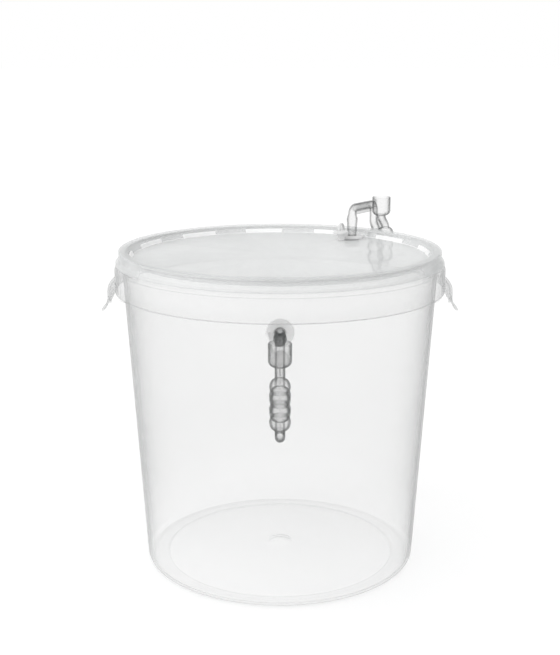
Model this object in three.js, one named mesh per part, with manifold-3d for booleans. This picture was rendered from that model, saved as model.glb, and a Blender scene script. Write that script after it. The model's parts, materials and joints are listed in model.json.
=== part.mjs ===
// A fermentation bucket of about 33 litres with a press-on lid. The lid and the front of the wall each have
// a hole with a soft grommet, a plug on a strap hangs on each grommet, and each grommet holds the stem of a
// clear airlock: a bent stem over the lid's edge, and a straight stem in the wall. Millimetres, +Z up. The
// origin is the middle of the footprint, on the plane that the bucket stands on.
import * as THREE from 'three';
import { mergeVertices } from 'three/addons/utils/BufferGeometryUtils.js';
import Module from 'manifold-3d';

const wasm = await Module();
wasm.setup();
const { degToRad, radToDeg } = THREE.MathUtils;

// Gap between pieces that touch or fit into each other
const FIT = 0.3;

// Bucket wall and floor
const BUCKET_HEIGHT = 369;
const LIP_RADIUS = 181.5;
const LIP_HEIGHT = 4.8;
const RIM_HEIGHT = 11.5;
const WALL = 2.2;
const WALL_DRAFT = 3.55;
const BASE_CORNER = 9;
const FOOT_WIDTH = 14;
const FLOOR = 2.6;
const FLOOR_RISE = 8.4;
const GATE_RADIUS = 12.5;

// Stiffening skirt outside the wall, under the lip
const SKIRT_STANDOFF = 8.5;
const SKIRT_DEPTH = 42.8;
const SKIRT_WALL = 2.3;
const SHOULDER_WIDTH = 4;
const SHOULDER_DROP = 7.4;

// Moulded grips on the skirt, left and right
const GRIP_DROP = 11.1;
const GRIP_REACH = 8.7;
const GRIP_ROOF_DROP = 11.5;
const GRIP_ROOF_SWEEP = 60;
const GRIP_WALL = 2.4;
const GRIP_TAIL = 5.2;
const GRIP_HALF_ANGLE = 17.8;
const GRIP_RIB_ANGLE = 0.8;
const GRIP_RIB_ROOT = 4.5;
const GRIP_RIB_EDGE = 12.5;
const GUSSET_DROP = 7;
const GRIP_LIP_REACH = 7;
const GRIP_LIP_DROP = 17;
const GRIP_LIP_HALF_ANGLE = 7;

// Lid, with a seal in the channel that sits over the bucket's lip
const LID_WALL = 2;
const LID_SLACK = 1.5;
const LID_RIM_INSET = 2.8;
const LID_RECESS = 9.3;
const LID_RECESS_SLOPE = 4.5;
const LID_FLARE = 3.6;
const LID_FLARE_HEIGHT = 6.2;
const SEAL_THICKNESS = 1.7;
const LUG_COUNT = 12;
const LUG_HALF_ANGLE = 8;
const LUG_FIRST_ANGLE = 7;
const LUG_HEIGHT = 4.4;
const LUG_STEP = 1.6;

// Places of the two holes
const LID_HOLE_ANGLE = 54;
const WALL_STEM_DROP = 3.1;

// Grommet and its tethered plug
const NECK_WALL = 1.1;
const FLANGE_REACH = 7.5;
const FLANGE_THICKNESS = 3;
const GROMMET_BULGE = 2.5;
const GROMMET_BODY_LENGTH = 8;
const GROMMET_MOUTH = 1.1;
const PLUG_GAP = 1.8;
const PLUG_CAP_RADIUS = 9.2;
const PLUG_CAP_THICKNESS = 3.2;
const PLUG_PIN_RADIUS = 4.8;
const PLUG_PIN_LENGTH = 8;
const STRAP_WIDTH = 3.4;
const STRAP_THICKNESS = 2.2;
const STRAP_RISE = 18;
const STRAP_FALL = 9;
const STRAP_ROOT_ANGLE = 90;
const STRAP_ROOT_RADIUS = 1.5;

// Airlock: tapered stem, bends, two columns of bulbs, and the open cup
const STEM_TIP_RADIUS = 4.4;
const STEM_BASE_RADIUS = 6.9;
const STEM_LENGTH = 33;
const STEM_INSERT = 12;
const BENT_NECK = 5.7;
const STRAIGHT_NECK = 8.3;
const TRAP_CLEARANCE = 10.7;
const TUBE_RADIUS = 5.2;
const TUBE_WALL = 1.2;
const BEND_RADIUS = 7.5;
const DOWN_TUBE_STRAIGHT = 22;
const DOWN_TUBE_SHIFT = 12;
const COLUMN_OFFSET = 6;
const BULB_RADIUS = 10.7;
const BULB_SCALLOP = 2.6;
const BULB_GAP = 2.6;
const BULB_PITCH = 13.35;
const BULB_COUNT = 3;
const BULB_SHOULDER = 8.8;
const CUP_RADIUS = 11.8;
const CUP_GAP = 1.6;
const CUP_RISE = 7;
const CUP_DEPTH = 17.6;
const CUP_ROUND = 6.2;
const WEB_THICKNESS = 1.6;
const WEB_STRIP = 3.4;

// Faceting
const ROUND_STEPS = 48;
const SMALL_STEPS = 24;
const TUBE_SIDES = 12;
const ARC_STEPS = 3;
const SCALLOP_STEPS = 4;
const STRAP_STEPS = 12;

// Radius of an airlock's stem at a distance from its tip, and what has to fit around it
const stemTaper = (STEM_BASE_RADIUS - STEM_TIP_RADIUS) / STEM_LENGTH;
const stemRadius = (fromTip) => STEM_TIP_RADIUS + stemTaper * fromTip;
const seatRadius = stemRadius(STEM_INSERT);
const holeRadius = seatRadius + NECK_WALL + 2 * FIT;
const flangeRadius = holeRadius + FLANGE_REACH;
const flangeTop = FIT + FLANGE_THICKNESS;
const stemTipZ = flangeTop - STEM_INSERT;

// Heights and radii of the bucket, from the plane that it stands on
const skirtRadius = LIP_RADIUS + SKIRT_STANDOFF;
const wallSlope = Math.tan(degToRad(WALL_DRAFT));
const rimFoot = BUCKET_HEIGHT - RIM_HEIGHT;
const shoulderRadius = LIP_RADIUS + SHOULDER_WIDTH;
const skirtTop = rimFoot - SHOULDER_DROP;
const skirtBottom = BUCKET_HEIGHT - SKIRT_DEPTH;
const wallRadius = (z) => LIP_RADIUS - (rimFoot - z) * wallSlope;
const wallHoleZ = skirtBottom - STEM_BASE_RADIUS - WALL_STEM_DROP;
const wallFlat = wallRadius(wallHoleZ) * Math.cos(Math.PI / ROUND_STEPS);

// Heights and radii of the lid, from the top of the bucket's lip
const channelInner = LIP_RADIUS - WALL - LID_SLACK;
const channelOuter = LIP_RADIUS + LID_SLACK;
const channelTop = SEAL_THICKNESS + 2 * FIT;
const lidTop = channelTop + LID_WALL;
const lidBottom = FIT - RIM_HEIGHT;
const lidPanelZ = lidTop - LID_RECESS;
const lidRecessRadius = channelInner - LID_RIM_INSET;
const lidPanelRadius = lidRecessRadius - LID_RECESS_SLOPE;
const lidHoleReach = lidPanelRadius - LUG_STEP - flangeRadius - FIT;

// Sizes of the airlocks
const columnSpacing = 2 * BULB_RADIUS + BULB_GAP;
const columnDrop = DOWN_TUBE_STRAIGHT + DOWN_TUBE_SHIFT;
const columnLength = 2 * BULB_SHOULDER + BULB_PITCH * (BULB_COUNT - 1);
const cupOffset = TUBE_RADIUS + CUP_GAP + CUP_RADIUS;
const bentStemHeight = STEM_LENGTH + BENT_NECK + BEND_RADIUS;
const bentArmLength = skirtRadius + TRAP_CLEARANCE + BULB_RADIUS - COLUMN_OFFSET - lidHoleReach;
const straightReach = STEM_LENGTH + STRAIGHT_NECK + BEND_RADIUS;

const bucketPlastic = new THREE.MeshStandardMaterial({ color: 0xeceeee, roughness: 0.4, metalness: 0 });
const lidPlastic = new THREE.MeshStandardMaterial({ color: 0xe4e6e6, roughness: 0.42, metalness: 0 });
const sealRubber = new THREE.MeshStandardMaterial({ color: 0xd8d8d4, roughness: 0.7, metalness: 0 });
const grommetRubber = new THREE.MeshStandardMaterial({ color: 0xdcdcdc, roughness: 0.6, metalness: 0 });
const clearPlastic = new THREE.MeshStandardMaterial({ color: 0xeef1f1, roughness: 0.08, metalness: 0 });

// Turns a closed geometry into a solid that can be joined and cut.
function solid(geometry) {
  geometry.deleteAttribute('normal');
  geometry.deleteAttribute('uv');
  const merged = mergeVertices(geometry, 1e-4);
  const index = merged.index.array;
  const triVerts = [];
  for (let i = 0; i < index.length; i += 3) {
    const [a, b, c] = [index[i], index[i + 1], index[i + 2]];
    if (a !== b && b !== c && c !== a) triVerts.push(a, b, c);
  }
  return new wasm.Manifold(new wasm.Mesh({
    numProp: 3,
    vertProperties: new Float32Array(merged.attributes.position.array),
    triVerts: new Uint32Array(triVerts),
  }));
}

function meshOf(name, body, material) {
  const { vertProperties, triVerts } = body.getMesh();
  const geometry = new THREE.BufferGeometry();
  geometry.setAttribute('position', new THREE.BufferAttribute(vertProperties, 3));
  geometry.setIndex(new THREE.BufferAttribute(triVerts, 1));
  geometry.computeVertexNormals();
  const mesh = new THREE.Mesh(geometry, material);
  mesh.name = name;
  return mesh;
}

// Turns a profile of [radius, height] points, counterclockwise, around the Z axis, with a flat at the front.
function revolve(profile, steps) {
  const points = profile.map(([r, z]) => new THREE.Vector2(r, z));
  if (points[0].x > 0) points.push(points[0].clone());
  return solid(new THREE.LatheGeometry(points, steps, Math.PI / steps).rotateX(Math.PI / 2));
}

// Points of an elliptical arc, from one angle to another in degrees.
function arc([r, z], [across, up], from, to, steps = ARC_STEPS) {
  return Array.from({ length: steps + 1 }, (_, i) => {
    const angle = degToRad(from + ((to - from) * i) / steps);
    return [r + across * Math.cos(angle), z + up * Math.sin(angle)];
  });
}

// A wedge around the Z axis between two angles in degrees, used to take a piece out of a ring.
function wedge(from, to) {
  const reach = 2 * skirtRadius;
  const corner = (angle) => new THREE.Vector2(Math.cos(degToRad(angle)), Math.sin(degToRad(angle)));
  const outline = [new THREE.Vector2(), corner(from).multiplyScalar(reach), corner(to).multiplyScalar(reach)];
  const shape = new THREE.Shape(outline);
  const block = new THREE.ExtrudeGeometry(shape, { depth: 2 * BUCKET_HEIGHT, bevelEnabled: false });
  return solid(block.translate(0, 0, -BUCKET_HEIGHT));
}

// Half of the bucket's section: the domed floor, the wall, the skirt that turns down outside it, and the lip.
function bucketProfile() {
  const footOuter = wallRadius(BASE_CORNER) - BASE_CORNER;
  const footInner = footOuter - FOOT_WIDTH;
  const innerCorner = BASE_CORNER - WALL;
  const skirtInner = skirtRadius - SKIRT_WALL;
  const rimRound = WALL / 3;
  const shoulder = [shoulderRadius, skirtTop];
  const dome = Array.from({ length: ARC_STEPS + 1 }, (_, i) => {
    const t = i / ARC_STEPS;
    return [GATE_RADIUS + (footInner - GATE_RADIUS) * t, FLOOR_RISE * (1 - t * t)];
  });
  return [
    [0, FLOOR_RISE],
    ...dome,
    ...arc([footOuter, BASE_CORNER], [BASE_CORNER, BASE_CORNER], -90, 0),
    [LIP_RADIUS, rimFoot],
    [LIP_RADIUS, rimFoot + SKIRT_WALL],
    ...arc(shoulder, [skirtInner - shoulderRadius, SHOULDER_DROP - SKIRT_WALL], 90, 0),
    [skirtInner, skirtBottom],
    [skirtRadius, skirtBottom],
    ...arc(shoulder, [skirtRadius - shoulderRadius, SHOULDER_DROP], 0, 90),
    [LIP_RADIUS, BUCKET_HEIGHT - LIP_HEIGHT],
    [LIP_RADIUS, BUCKET_HEIGHT - rimRound],
    [LIP_RADIUS - rimRound, BUCKET_HEIGHT],
    [LIP_RADIUS - WALL + rimRound, BUCKET_HEIGHT],
    [LIP_RADIUS - WALL, BUCKET_HEIGHT - rimRound],
    [LIP_RADIUS - WALL, rimFoot],
    ...arc([footOuter, FLOOR + innerCorner], [innerCorner, innerCorner], 0, -90),
    ...dome.reverse().map(([r, z]) => [r, z + FLOOR]),
    [0, FLOOR_RISE + FLOOR],
  ];
}

// A grip is a hood over the skirt, open underneath, with a flared lip for the fingers. At each end a rib
// closes the hood, and a gusset in line with it ties the skirt to the wall.
function grip() {
  const top = skirtTop - GRIP_DROP;
  const outer = skirtRadius + GRIP_REACH;
  const inner = outer - GRIP_WALL;
  const tail = skirtBottom - GRIP_TAIL;
  const root = skirtRadius - SKIRT_WALL / 2;
  const sweep = degToRad(GRIP_ROOF_SWEEP);
  const across = GRIP_REACH / (1 - Math.cos(sweep));
  const up = GRIP_ROOF_DROP / Math.sin(sweep);
  const eaves = [outer - across, top - GRIP_ROOF_DROP];
  const roof = arc(eaves, [across, up], 0, GRIP_ROOF_SWEEP);
  const ceiling = arc(eaves, [across - GRIP_WALL, up - GRIP_WALL], GRIP_ROOF_SWEEP, 0);
  const hood = [[inner, tail], [outer, tail], ...roof, [root, top], ...ceiling];
  const rib = [[root, top - GRIP_RIB_ROOT], [outer, top - GRIP_RIB_EDGE], ...roof, [root, top]];
  const flare = 2 * Math.atan(GRIP_LIP_REACH / GRIP_LIP_DROP);
  const bend = GRIP_LIP_DROP / Math.sin(flare);
  const bendCentre = [outer + bend, tail];
  const flareEnd = 180 + radToDeg(flare);
  const lip = [
    [outer, tail + GRIP_WALL],
    [inner, tail + GRIP_WALL],
    ...arc(bendCentre, [bend + GRIP_WALL, bend + GRIP_WALL], 180, flareEnd),
    ...arc(bendCentre, [bend, bend], flareEnd, 180),
  ];
  const gussetZ = skirtBottom - GUSSET_DROP;
  const gussetRadius = wallRadius(gussetZ);
  const gusset = [
    [gussetRadius - WALL / 2, gussetZ],
    ...arc([gussetRadius, skirtBottom], [root - gussetRadius, GUSSET_DROP], -90, 0),
    [root, skirtTop],
    [wallRadius(skirtTop) - WALL / 2, skirtTop],
  ];
  const ribFrom = GRIP_HALF_ANGLE - GRIP_RIB_ANGLE;
  const ribRing = revolve(rib, ROUND_STEPS).add(revolve(gusset, ROUND_STEPS));
  return revolve(hood, ROUND_STEPS)
    .intersect(wedge(-GRIP_HALF_ANGLE, GRIP_HALF_ANGLE))
    .add(ribRing.intersect(wedge(ribFrom, GRIP_HALF_ANGLE)))
    .add(ribRing.intersect(wedge(-GRIP_HALF_ANGLE, -ribFrom)))
    .add(revolve(lip, ROUND_STEPS).intersect(wedge(-GRIP_LIP_HALF_ANGLE, GRIP_LIP_HALF_ANGLE)));
}

// A cutter for a grommet's hole through a panel, at a port.
function holeCutter(panel, port) {
  const cutter = new THREE.CylinderGeometry(holeRadius, holeRadius, 4 * panel, SMALL_STEPS);
  port.updateMatrix();
  return solid(cutter.rotateX(Math.PI / 2)).transform(port.matrix.toArray());
}

// The two ports: each has its origin on the outer face at the hole's centre, its Z axis out along the hole,
// and its X axis outwards over the lid's edge or down the wall.
const lidPort = new THREE.Group();
lidPort.rotation.z = degToRad(LID_HOLE_ANGLE);
lidPort.position.set(lidHoleReach, 0, lidPanelZ).applyEuler(lidPort.rotation);

const wallPort = new THREE.Group();
const draft = degToRad(WALL_DRAFT);
wallPort.position.set(0, -wallFlat, wallHoleZ);
wallPort.setRotationFromMatrix(new THREE.Matrix4().makeBasis(
  new THREE.Vector3(0, Math.sin(draft), -Math.cos(draft)),
  new THREE.Vector3(1, 0, 0),
  new THREE.Vector3(0, -Math.cos(draft), -Math.sin(draft)),
));

function bucket() {
  const right = grip();
  const body = revolve(bucketProfile(), ROUND_STEPS)
    .add(right)
    .add(right.rotate([0, 0, 180]))
    .subtract(holeCutter(WALL, wallPort));
  return meshOf('bucket', body, bucketPlastic);
}

// The lid has a sunk panel, a channel over the bucket's lip, a flared edge, and lugs around the panel.
function lid() {
  const panelUnder = lidPanelZ - LID_WALL;
  const outer = channelOuter + LID_WALL;
  const round = LID_WALL / 2;
  const flareZ = lidBottom + LID_FLARE_HEIGHT;
  const profile = [
    [0, panelUnder],
    [lidPanelRadius + LID_WALL, panelUnder],
    [channelInner, channelTop],
    [channelOuter, channelTop],
    [channelOuter, flareZ],
    [channelOuter + LID_FLARE, lidBottom],
    [outer + LID_FLARE, lidBottom],
    [outer + LID_FLARE, lidBottom + LID_WALL],
    [outer + round, flareZ],
    [outer, lidTop - round],
    [outer - round, lidTop],
    [lidRecessRadius + round, lidTop],
    [lidRecessRadius, lidTop - round],
    [lidPanelRadius + round, lidPanelZ + round],
    [lidPanelRadius, lidPanelZ],
    [0, lidPanelZ],
  ];
  const lugFoot = lidPanelZ - LID_WALL / 4;
  const lugTop = lidPanelZ + LUG_HEIGHT;
  const lean = (LID_RECESS_SLOPE * LUG_HEIGHT) / LID_RECESS;
  const lugRing = revolve([
    [lidPanelRadius - LUG_STEP, lugFoot],
    [lidPanelRadius + LID_WALL, lugFoot],
    [lidPanelRadius + LID_WALL + lean, lugTop],
    [lidPanelRadius - LUG_STEP + lean, lugTop],
  ], ROUND_STEPS);
  let body = revolve(profile, ROUND_STEPS);
  for (let i = 0; i < LUG_COUNT; i += 1) {
    const middle = LUG_FIRST_ANGLE + (360 / LUG_COUNT) * i;
    body = body.add(lugRing.intersect(wedge(middle - LUG_HALF_ANGLE, middle + LUG_HALF_ANGLE)));
  }
  return meshOf('lid', body.subtract(holeCutter(LID_WALL, lidPort)), lidPlastic);
}

function lidSeal() {
  const [inner, outer] = [channelInner + FIT, channelOuter - FIT];
  const [low, high] = [FIT, FIT + SEAL_THICKNESS];
  const section = [[inner, low], [outer, low], [outer, high], [inner, high]];
  return meshOf('lid_seal', revolve(section, ROUND_STEPS), sealRubber);
}

// A grommet has a flange outside its panel, a neck through the hole, and a bulging body behind.
function grommet(name, panel) {
  const bore = (z) => stemRadius(z - stemTipZ) + FIT;
  const shelf = -panel - FIT;
  const bottom = shelf - GROMMET_BODY_LENGTH;
  const bodyRadius = holeRadius + GROMMET_BULGE;
  const round = GROMMET_BULGE / 2;
  const bevel = FLANGE_THICKNESS / 4;
  const mouthZ = flangeTop - FLANGE_THICKNESS / 2;
  const profile = [
    [bore(bottom), bottom],
    [bodyRadius - round, bottom],
    [bodyRadius, bottom + round],
    [bodyRadius, shelf],
    [holeRadius - FIT, shelf],
    [holeRadius - FIT, FIT],
    [flangeRadius, FIT],
    [flangeRadius, flangeTop - bevel],
    [flangeRadius - bevel, flangeTop],
    [seatRadius + GROMMET_MOUTH, flangeTop],
    [bore(mouthZ), mouthZ],
  ];
  return meshOf(name, revolve(profile, SMALL_STEPS), grommetRubber);
}

// The plug lies beside its grommet, at an angle in degrees around it, and its strap arches from the flange.
function plug(name, angle) {
  const capUnder = PLUG_PIN_LENGTH + 2 * FIT;
  const capTop = capUnder + PLUG_CAP_THICKNESS;
  const bevel = PLUG_CAP_THICKNESS / 4;
  const reach = flangeRadius + PLUG_GAP + PLUG_CAP_RADIUS;
  const pinEnd = capUnder - PLUG_PIN_LENGTH;
  const stopper = revolve([
    [0, pinEnd],
    [PLUG_PIN_RADIUS - bevel, pinEnd],
    [PLUG_PIN_RADIUS, pinEnd + bevel],
    [PLUG_PIN_RADIUS, capUnder],
    [PLUG_CAP_RADIUS, capUnder],
    [PLUG_CAP_RADIUS, capTop - bevel],
    [PLUG_CAP_RADIUS - bevel, capTop],
    [0, capTop],
  ], SMALL_STEPS).translate([reach, 0, 0]);
  const rootTurn = degToRad(STRAP_ROOT_ANGLE);
  const rootReach = flangeRadius - STRAP_WIDTH / 2;
  const root = new THREE.Vector2(rootReach * Math.cos(rootTurn), -rootReach * Math.sin(rootTurn));
  const rootZ = flangeTop + FIT + STRAP_ROOT_RADIUS;
  const span = new THREE.Vector2(reach - PLUG_PIN_RADIUS / 2, -PLUG_PIN_RADIUS).sub(root);
  const path = new THREE.CubicBezierCurve3(
    new THREE.Vector3(0, 0, rootZ),
    new THREE.Vector3(0, 0, rootZ + STRAP_RISE),
    new THREE.Vector3(span.length(), 0, capTop + STRAP_FALL),
    new THREE.Vector3(span.length(), 0, capTop - bevel),
  );
  const [thick, wide] = [STRAP_THICKNESS / 2, STRAP_WIDTH / 2];
  const section = new THREE.Shape([
    new THREE.Vector2(-thick, -wide),
    new THREE.Vector2(thick, -wide),
    new THREE.Vector2(thick, wide),
    new THREE.Vector2(-thick, wide),
  ]);
  const along = { steps: STRAP_STEPS, extrudePath: path, bevelEnabled: false };
  const strap = new THREE.ExtrudeGeometry(section, along);
  const ball = new THREE.SphereGeometry(STRAP_ROOT_RADIUS, TUBE_SIDES, TUBE_SIDES / 2).translate(0, 0, rootZ);
  const fromRoot = (shape) => solid(shape.rotateZ(span.angle()).translate(root.x, root.y, 0));
  const body = stopper.add(fromRoot(strap)).add(fromRoot(ball)).rotate([0, 0, angle]);
  return meshOf(name, body, grommetRubber);
}

// An airlock's channel runs in its own XZ plane. A station is a point on its middle line with a radius.
const station = (x, z, r = TUBE_RADIUS) => ({ x, z, r });

// A quarter or half turn of the channel, from one angle to another in degrees.
function bend(x, z, radius, from, to, steps = ARC_STEPS) {
  return arc([x, z], [radius, radius], from, to, steps).map(([u, w]) => station(u, w));
}

// An easy S between two heights, without its ends.
function ease(from, to) {
  return Array.from({ length: ARC_STEPS }, (_, i) => {
    const t = (i + 1) / (ARC_STEPS + 1);
    const blend = (1 - Math.cos(Math.PI * t)) / 2;
    return station(from.x + (to.x - from.x) * blend, from.z + (to.z - from.z) * t);
  });
}

// A column of bulbs from its top to its bottom: a round shoulder, scalloped bulbs, and a round shoulder.
function bulbColumn(x, top) {
  const first = top - BULB_SHOULDER;
  const last = first - BULB_PITCH * (BULB_COUNT - 1);
  const shoulder = arc([TUBE_RADIUS, 0], [BULB_RADIUS - TUBE_RADIUS, BULB_SHOULDER], 90, 0);
  const rings = shoulder.map(([r, z]) => station(x, first + z, r));
  for (let i = 1; i <= SCALLOP_STEPS * (BULB_COUNT - 1); i += 1) {
    const t = i / SCALLOP_STEPS;
    const swell = Math.abs(Math.cos(Math.PI * t));
    rings.push(station(x, first - t * BULB_PITCH, BULB_RADIUS - BULB_SCALLOP * (1 - swell)));
  }
  return [...rings, ...shoulder.slice(0, -1).reverse().map(([r, z]) => station(x, last - z, r))];
}

// The part that both airlocks share, from the bend at the top of the down tube at (x, z) to the cup's mouth.
function trap(x, z) {
  const left = x + COLUMN_OFFSET;
  const right = left + columnSpacing;
  const columnTop = z - columnDrop;
  const downEnd = station(x, z - DOWN_TUBE_STRAIGHT);
  const cup = x + cupOffset;
  const cupMouth = z + CUP_RISE;
  const cupRoundZ = cupMouth - CUP_DEPTH;
  const cupNeck = station(cup, cupRoundZ - CUP_ROUND);
  const middle = (left + right) / 2;
  const uBend = bend(middle, columnTop - columnLength, columnSpacing / 2, 180, 360, 2 * ARC_STEPS);
  const cupWall = arc([TUBE_RADIUS, cupRoundZ], [CUP_RADIUS - TUBE_RADIUS, CUP_ROUND], -90, 0);
  return [
    downEnd,
    ...ease(downEnd, station(left, columnTop)),
    ...bulbColumn(left, columnTop),
    ...uBend.slice(1, -1),
    ...bulbColumn(right, columnTop).reverse(),
    ...ease(station(right, columnTop), cupNeck),
    ...cupWall.map(([r, w]) => station(cup, w, r)),
    station(cup, cupMouth, CUP_RADIUS),
  ];
}

// A closed tube through the stations, with its ends stretched by a length and its radius cut by a wall.
function loft(stations, wall = 0, stretch = 0) {
  const count = stations.length;
  const positions = [];
  const index = [];
  const tangents = stations.map((_, i) => {
    const [a, b] = [stations[Math.max(i - 1, 0)], stations[Math.min(i + 1, count - 1)]];
    return new THREE.Vector2(b.x - a.x, b.z - a.z).normalize();
  });
  const middle = (i) => {
    const shift = i === 0 ? -stretch : i === count - 1 ? stretch : 0;
    return [stations[i].x + tangents[i].x * shift, stations[i].z + tangents[i].y * shift];
  };
  stations.forEach(({ r }, i) => {
    const [x, z] = middle(i);
    for (let side = 0; side < TUBE_SIDES; side += 1) {
      const angle = (2 * Math.PI * side) / TUBE_SIDES;
      const across = (r - wall) * Math.cos(angle);
      positions.push(x - tangents[i].y * across, (r - wall) * Math.sin(angle), z + tangents[i].x * across);
    }
  });
  for (let i = 0; i < count - 1; i += 1) {
    for (let side = 0; side < TUBE_SIDES; side += 1) {
      const next = (side + 1) % TUBE_SIDES;
      const [a, b] = [i * TUBE_SIDES + side, i * TUBE_SIDES + next];
      const [c, d] = [a + TUBE_SIDES, b + TUBE_SIDES];
      index.push(a, c, b, b, c, d);
    }
  }
  for (const [end, flip] of [[0, false], [count - 1, true]]) {
    const centre = positions.length / 3;
    const [x, z] = middle(end);
    positions.push(x, 0, z);
    for (let side = 0; side < TUBE_SIDES; side += 1) {
      const [a, b] = [end * TUBE_SIDES + side, end * TUBE_SIDES + ((side + 1) % TUBE_SIDES)];
      index.push(centre, flip ? b : a, flip ? a : b);
    }
  }
  const geometry = new THREE.BufferGeometry();
  geometry.setAttribute('position', new THREE.BufferAttribute(new Float32Array(positions), 3));
  geometry.setIndex(index);
  return solid(geometry);
}

// A flat plate in the airlock's middle plane.
function web(outline) {
  const shape = new THREE.Shape(outline.map(([x, z]) => new THREE.Vector2(x, z)));
  const plate = new THREE.ExtrudeGeometry(shape, { depth: WEB_THICKNESS, bevelEnabled: false });
  return solid(plate.translate(0, 0, -WEB_THICKNESS / 2).rotateX(Math.PI / 2));
}

// The web that joins the down tube, the cup and the columns, for a bend at (x, z).
function trapWeb(x, z) {
  const left = x + COLUMN_OFFSET;
  const right = left + columnSpacing;
  const columnTop = z - columnDrop;
  const columnBottom = columnTop - columnLength;
  const cupBottom = z + CUP_RISE - CUP_DEPTH;
  return web([
    [x, z + TUBE_RADIUS],
    [x, z - DOWN_TUBE_STRAIGHT],
    [left - BULB_RADIUS, z - DOWN_TUBE_STRAIGHT],
    [left - BULB_RADIUS, columnBottom + BULB_SHOULDER],
    [left, columnBottom + BULB_SHOULDER],
    [left, columnBottom - columnSpacing / 2],
    [right, columnBottom - columnSpacing / 2],
    [right, cupBottom],
    [x + cupOffset, cupBottom],
    [x + cupOffset, z + TUBE_RADIUS],
  ]);
}

// The airlock for the lid: the stem points down, and an arm carries the trap out over the lid's edge.
function bentAirlock() {
  const [corner, level] = [bentArmLength, bentStemHeight];
  const turnZ = level - BEND_RADIUS;
  const stations = [
    station(0, 0, STEM_TIP_RADIUS),
    station(0, STEM_LENGTH, STEM_BASE_RADIUS),
    ...bend(BEND_RADIUS, turnZ, BEND_RADIUS, 180, 90),
    ...bend(corner - BEND_RADIUS, turnZ, BEND_RADIUS, 90, 0),
    ...trap(corner, level),
  ];
  const [low, high] = [level - TUBE_RADIUS - WEB_STRIP, level];
  const strip = web([[BEND_RADIUS, low], [corner, low], [corner, high], [BEND_RADIUS, high]]);
  return airlockBody(stations, trapWeb(corner, level).add(strip));
}

// The airlock for the wall: the stem runs straight out of the wall to the bend.
function straightAirlock() {
  const corner = straightReach;
  const stations = [
    station(0, 0, STEM_TIP_RADIUS),
    station(STEM_LENGTH, 0, STEM_BASE_RADIUS),
    ...bend(corner - BEND_RADIUS, -BEND_RADIUS, BEND_RADIUS, 90, 0),
    ...trap(corner, 0),
  ];
  return airlockBody(stations, trapWeb(corner, 0));
}

function airlockBody(stations, plates) {
  return loft(stations).add(plates).subtract(loft(stations, TUBE_WALL, TUBE_WALL));
}

// An airlock is moulded as two halves that are welded along its middle plane.
function halves(body, names) {
  const size = 4 * (bentStemHeight + bentArmLength + columnDrop + columnLength);
  return names.map((name, i) => {
    const side = i === 0 ? -1 : 1;
    const block = new THREE.BoxGeometry(size, size, size).translate(0, (side * (size + FIT)) / 2, 0);
    return meshOf(name, body.intersect(solid(block)), clearPlastic);
  });
}

const lidAirlock = new THREE.Group();
lidAirlock.position.z = stemTipZ;
lidAirlock.add(...halves(bentAirlock(), ['lid_airlock_right_half', 'lid_airlock_left_half']));
lidPort.add(lidAirlock, grommet('lid_grommet', LID_WALL), plug('lid_plug', 180));

const wallAirlock = new THREE.Group();
wallAirlock.position.z = stemTipZ;
wallAirlock.rotation.y = -Math.PI / 2;
wallAirlock.add(...halves(straightAirlock(), ['wall_airlock_left_half', 'wall_airlock_right_half']));
wallPort.add(wallAirlock, grommet('wall_grommet', WALL), plug('wall_plug', 0));

const lidGroup = new THREE.Group();
lidGroup.position.z = BUCKET_HEIGHT;
lidGroup.add(lid(), lidSeal(), lidPort);

const fermenter = new THREE.Group();
fermenter.add(bucket(), wallPort, lidGroup);

// Moves the whole object so that the origin is the middle of its footprint.
const footprint = new THREE.Box3().setFromObject(fermenter, true);
const centre = footprint.getCenter(new THREE.Vector3());
fermenter.position.set(-centre.x, -centre.y, -footprint.min.z);

export default fermenter;
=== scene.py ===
"""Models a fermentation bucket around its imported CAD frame, in metres, and sets up its picture."""

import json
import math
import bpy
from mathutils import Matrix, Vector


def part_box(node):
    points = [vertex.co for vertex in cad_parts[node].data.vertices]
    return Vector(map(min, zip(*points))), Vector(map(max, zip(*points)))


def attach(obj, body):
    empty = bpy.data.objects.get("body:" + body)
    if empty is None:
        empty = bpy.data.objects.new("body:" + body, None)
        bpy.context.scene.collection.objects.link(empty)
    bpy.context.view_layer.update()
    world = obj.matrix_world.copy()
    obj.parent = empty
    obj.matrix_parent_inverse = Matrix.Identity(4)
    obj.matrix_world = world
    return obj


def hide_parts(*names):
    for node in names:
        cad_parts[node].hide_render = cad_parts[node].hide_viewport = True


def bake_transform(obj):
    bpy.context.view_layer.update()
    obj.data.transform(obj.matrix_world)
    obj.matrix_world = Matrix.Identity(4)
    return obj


bl_info = {
    "name": "Fermentation bucket",
    "version": (1, 0, 0),
    "blender": (4, 5, 0),
    "location": "3D View > Sidebar > Fermenter",
    "description": "Models a translucent bucket with its lid, grommets, plugs and airlocks",
    "category": "Object",
}

import bpy
from bpy.props import FloatProperty, FloatVectorProperty, IntProperty, PointerProperty
from bpy.types import Operator, Panel, PropertyGroup
from mathutils import Matrix, Vector, geometry

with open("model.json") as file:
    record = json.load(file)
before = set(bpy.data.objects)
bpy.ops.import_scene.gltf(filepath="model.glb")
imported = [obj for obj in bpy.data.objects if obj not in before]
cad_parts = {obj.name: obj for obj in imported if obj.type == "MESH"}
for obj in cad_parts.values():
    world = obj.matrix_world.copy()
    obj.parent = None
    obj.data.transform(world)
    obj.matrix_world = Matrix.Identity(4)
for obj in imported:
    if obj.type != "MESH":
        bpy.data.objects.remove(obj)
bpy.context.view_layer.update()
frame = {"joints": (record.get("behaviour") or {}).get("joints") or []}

UP = Vector((0, 0, 1))
ORIGIN = Vector((0, 0, 0))
JOINTS = {joint["name"]: joint for joint in frame["joints"]}

seal_low, seal_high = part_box("lid_seal")
AXIS = Vector((seal_low.x + seal_high.x, seal_low.y + seal_high.y, 0)) / 2


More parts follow.
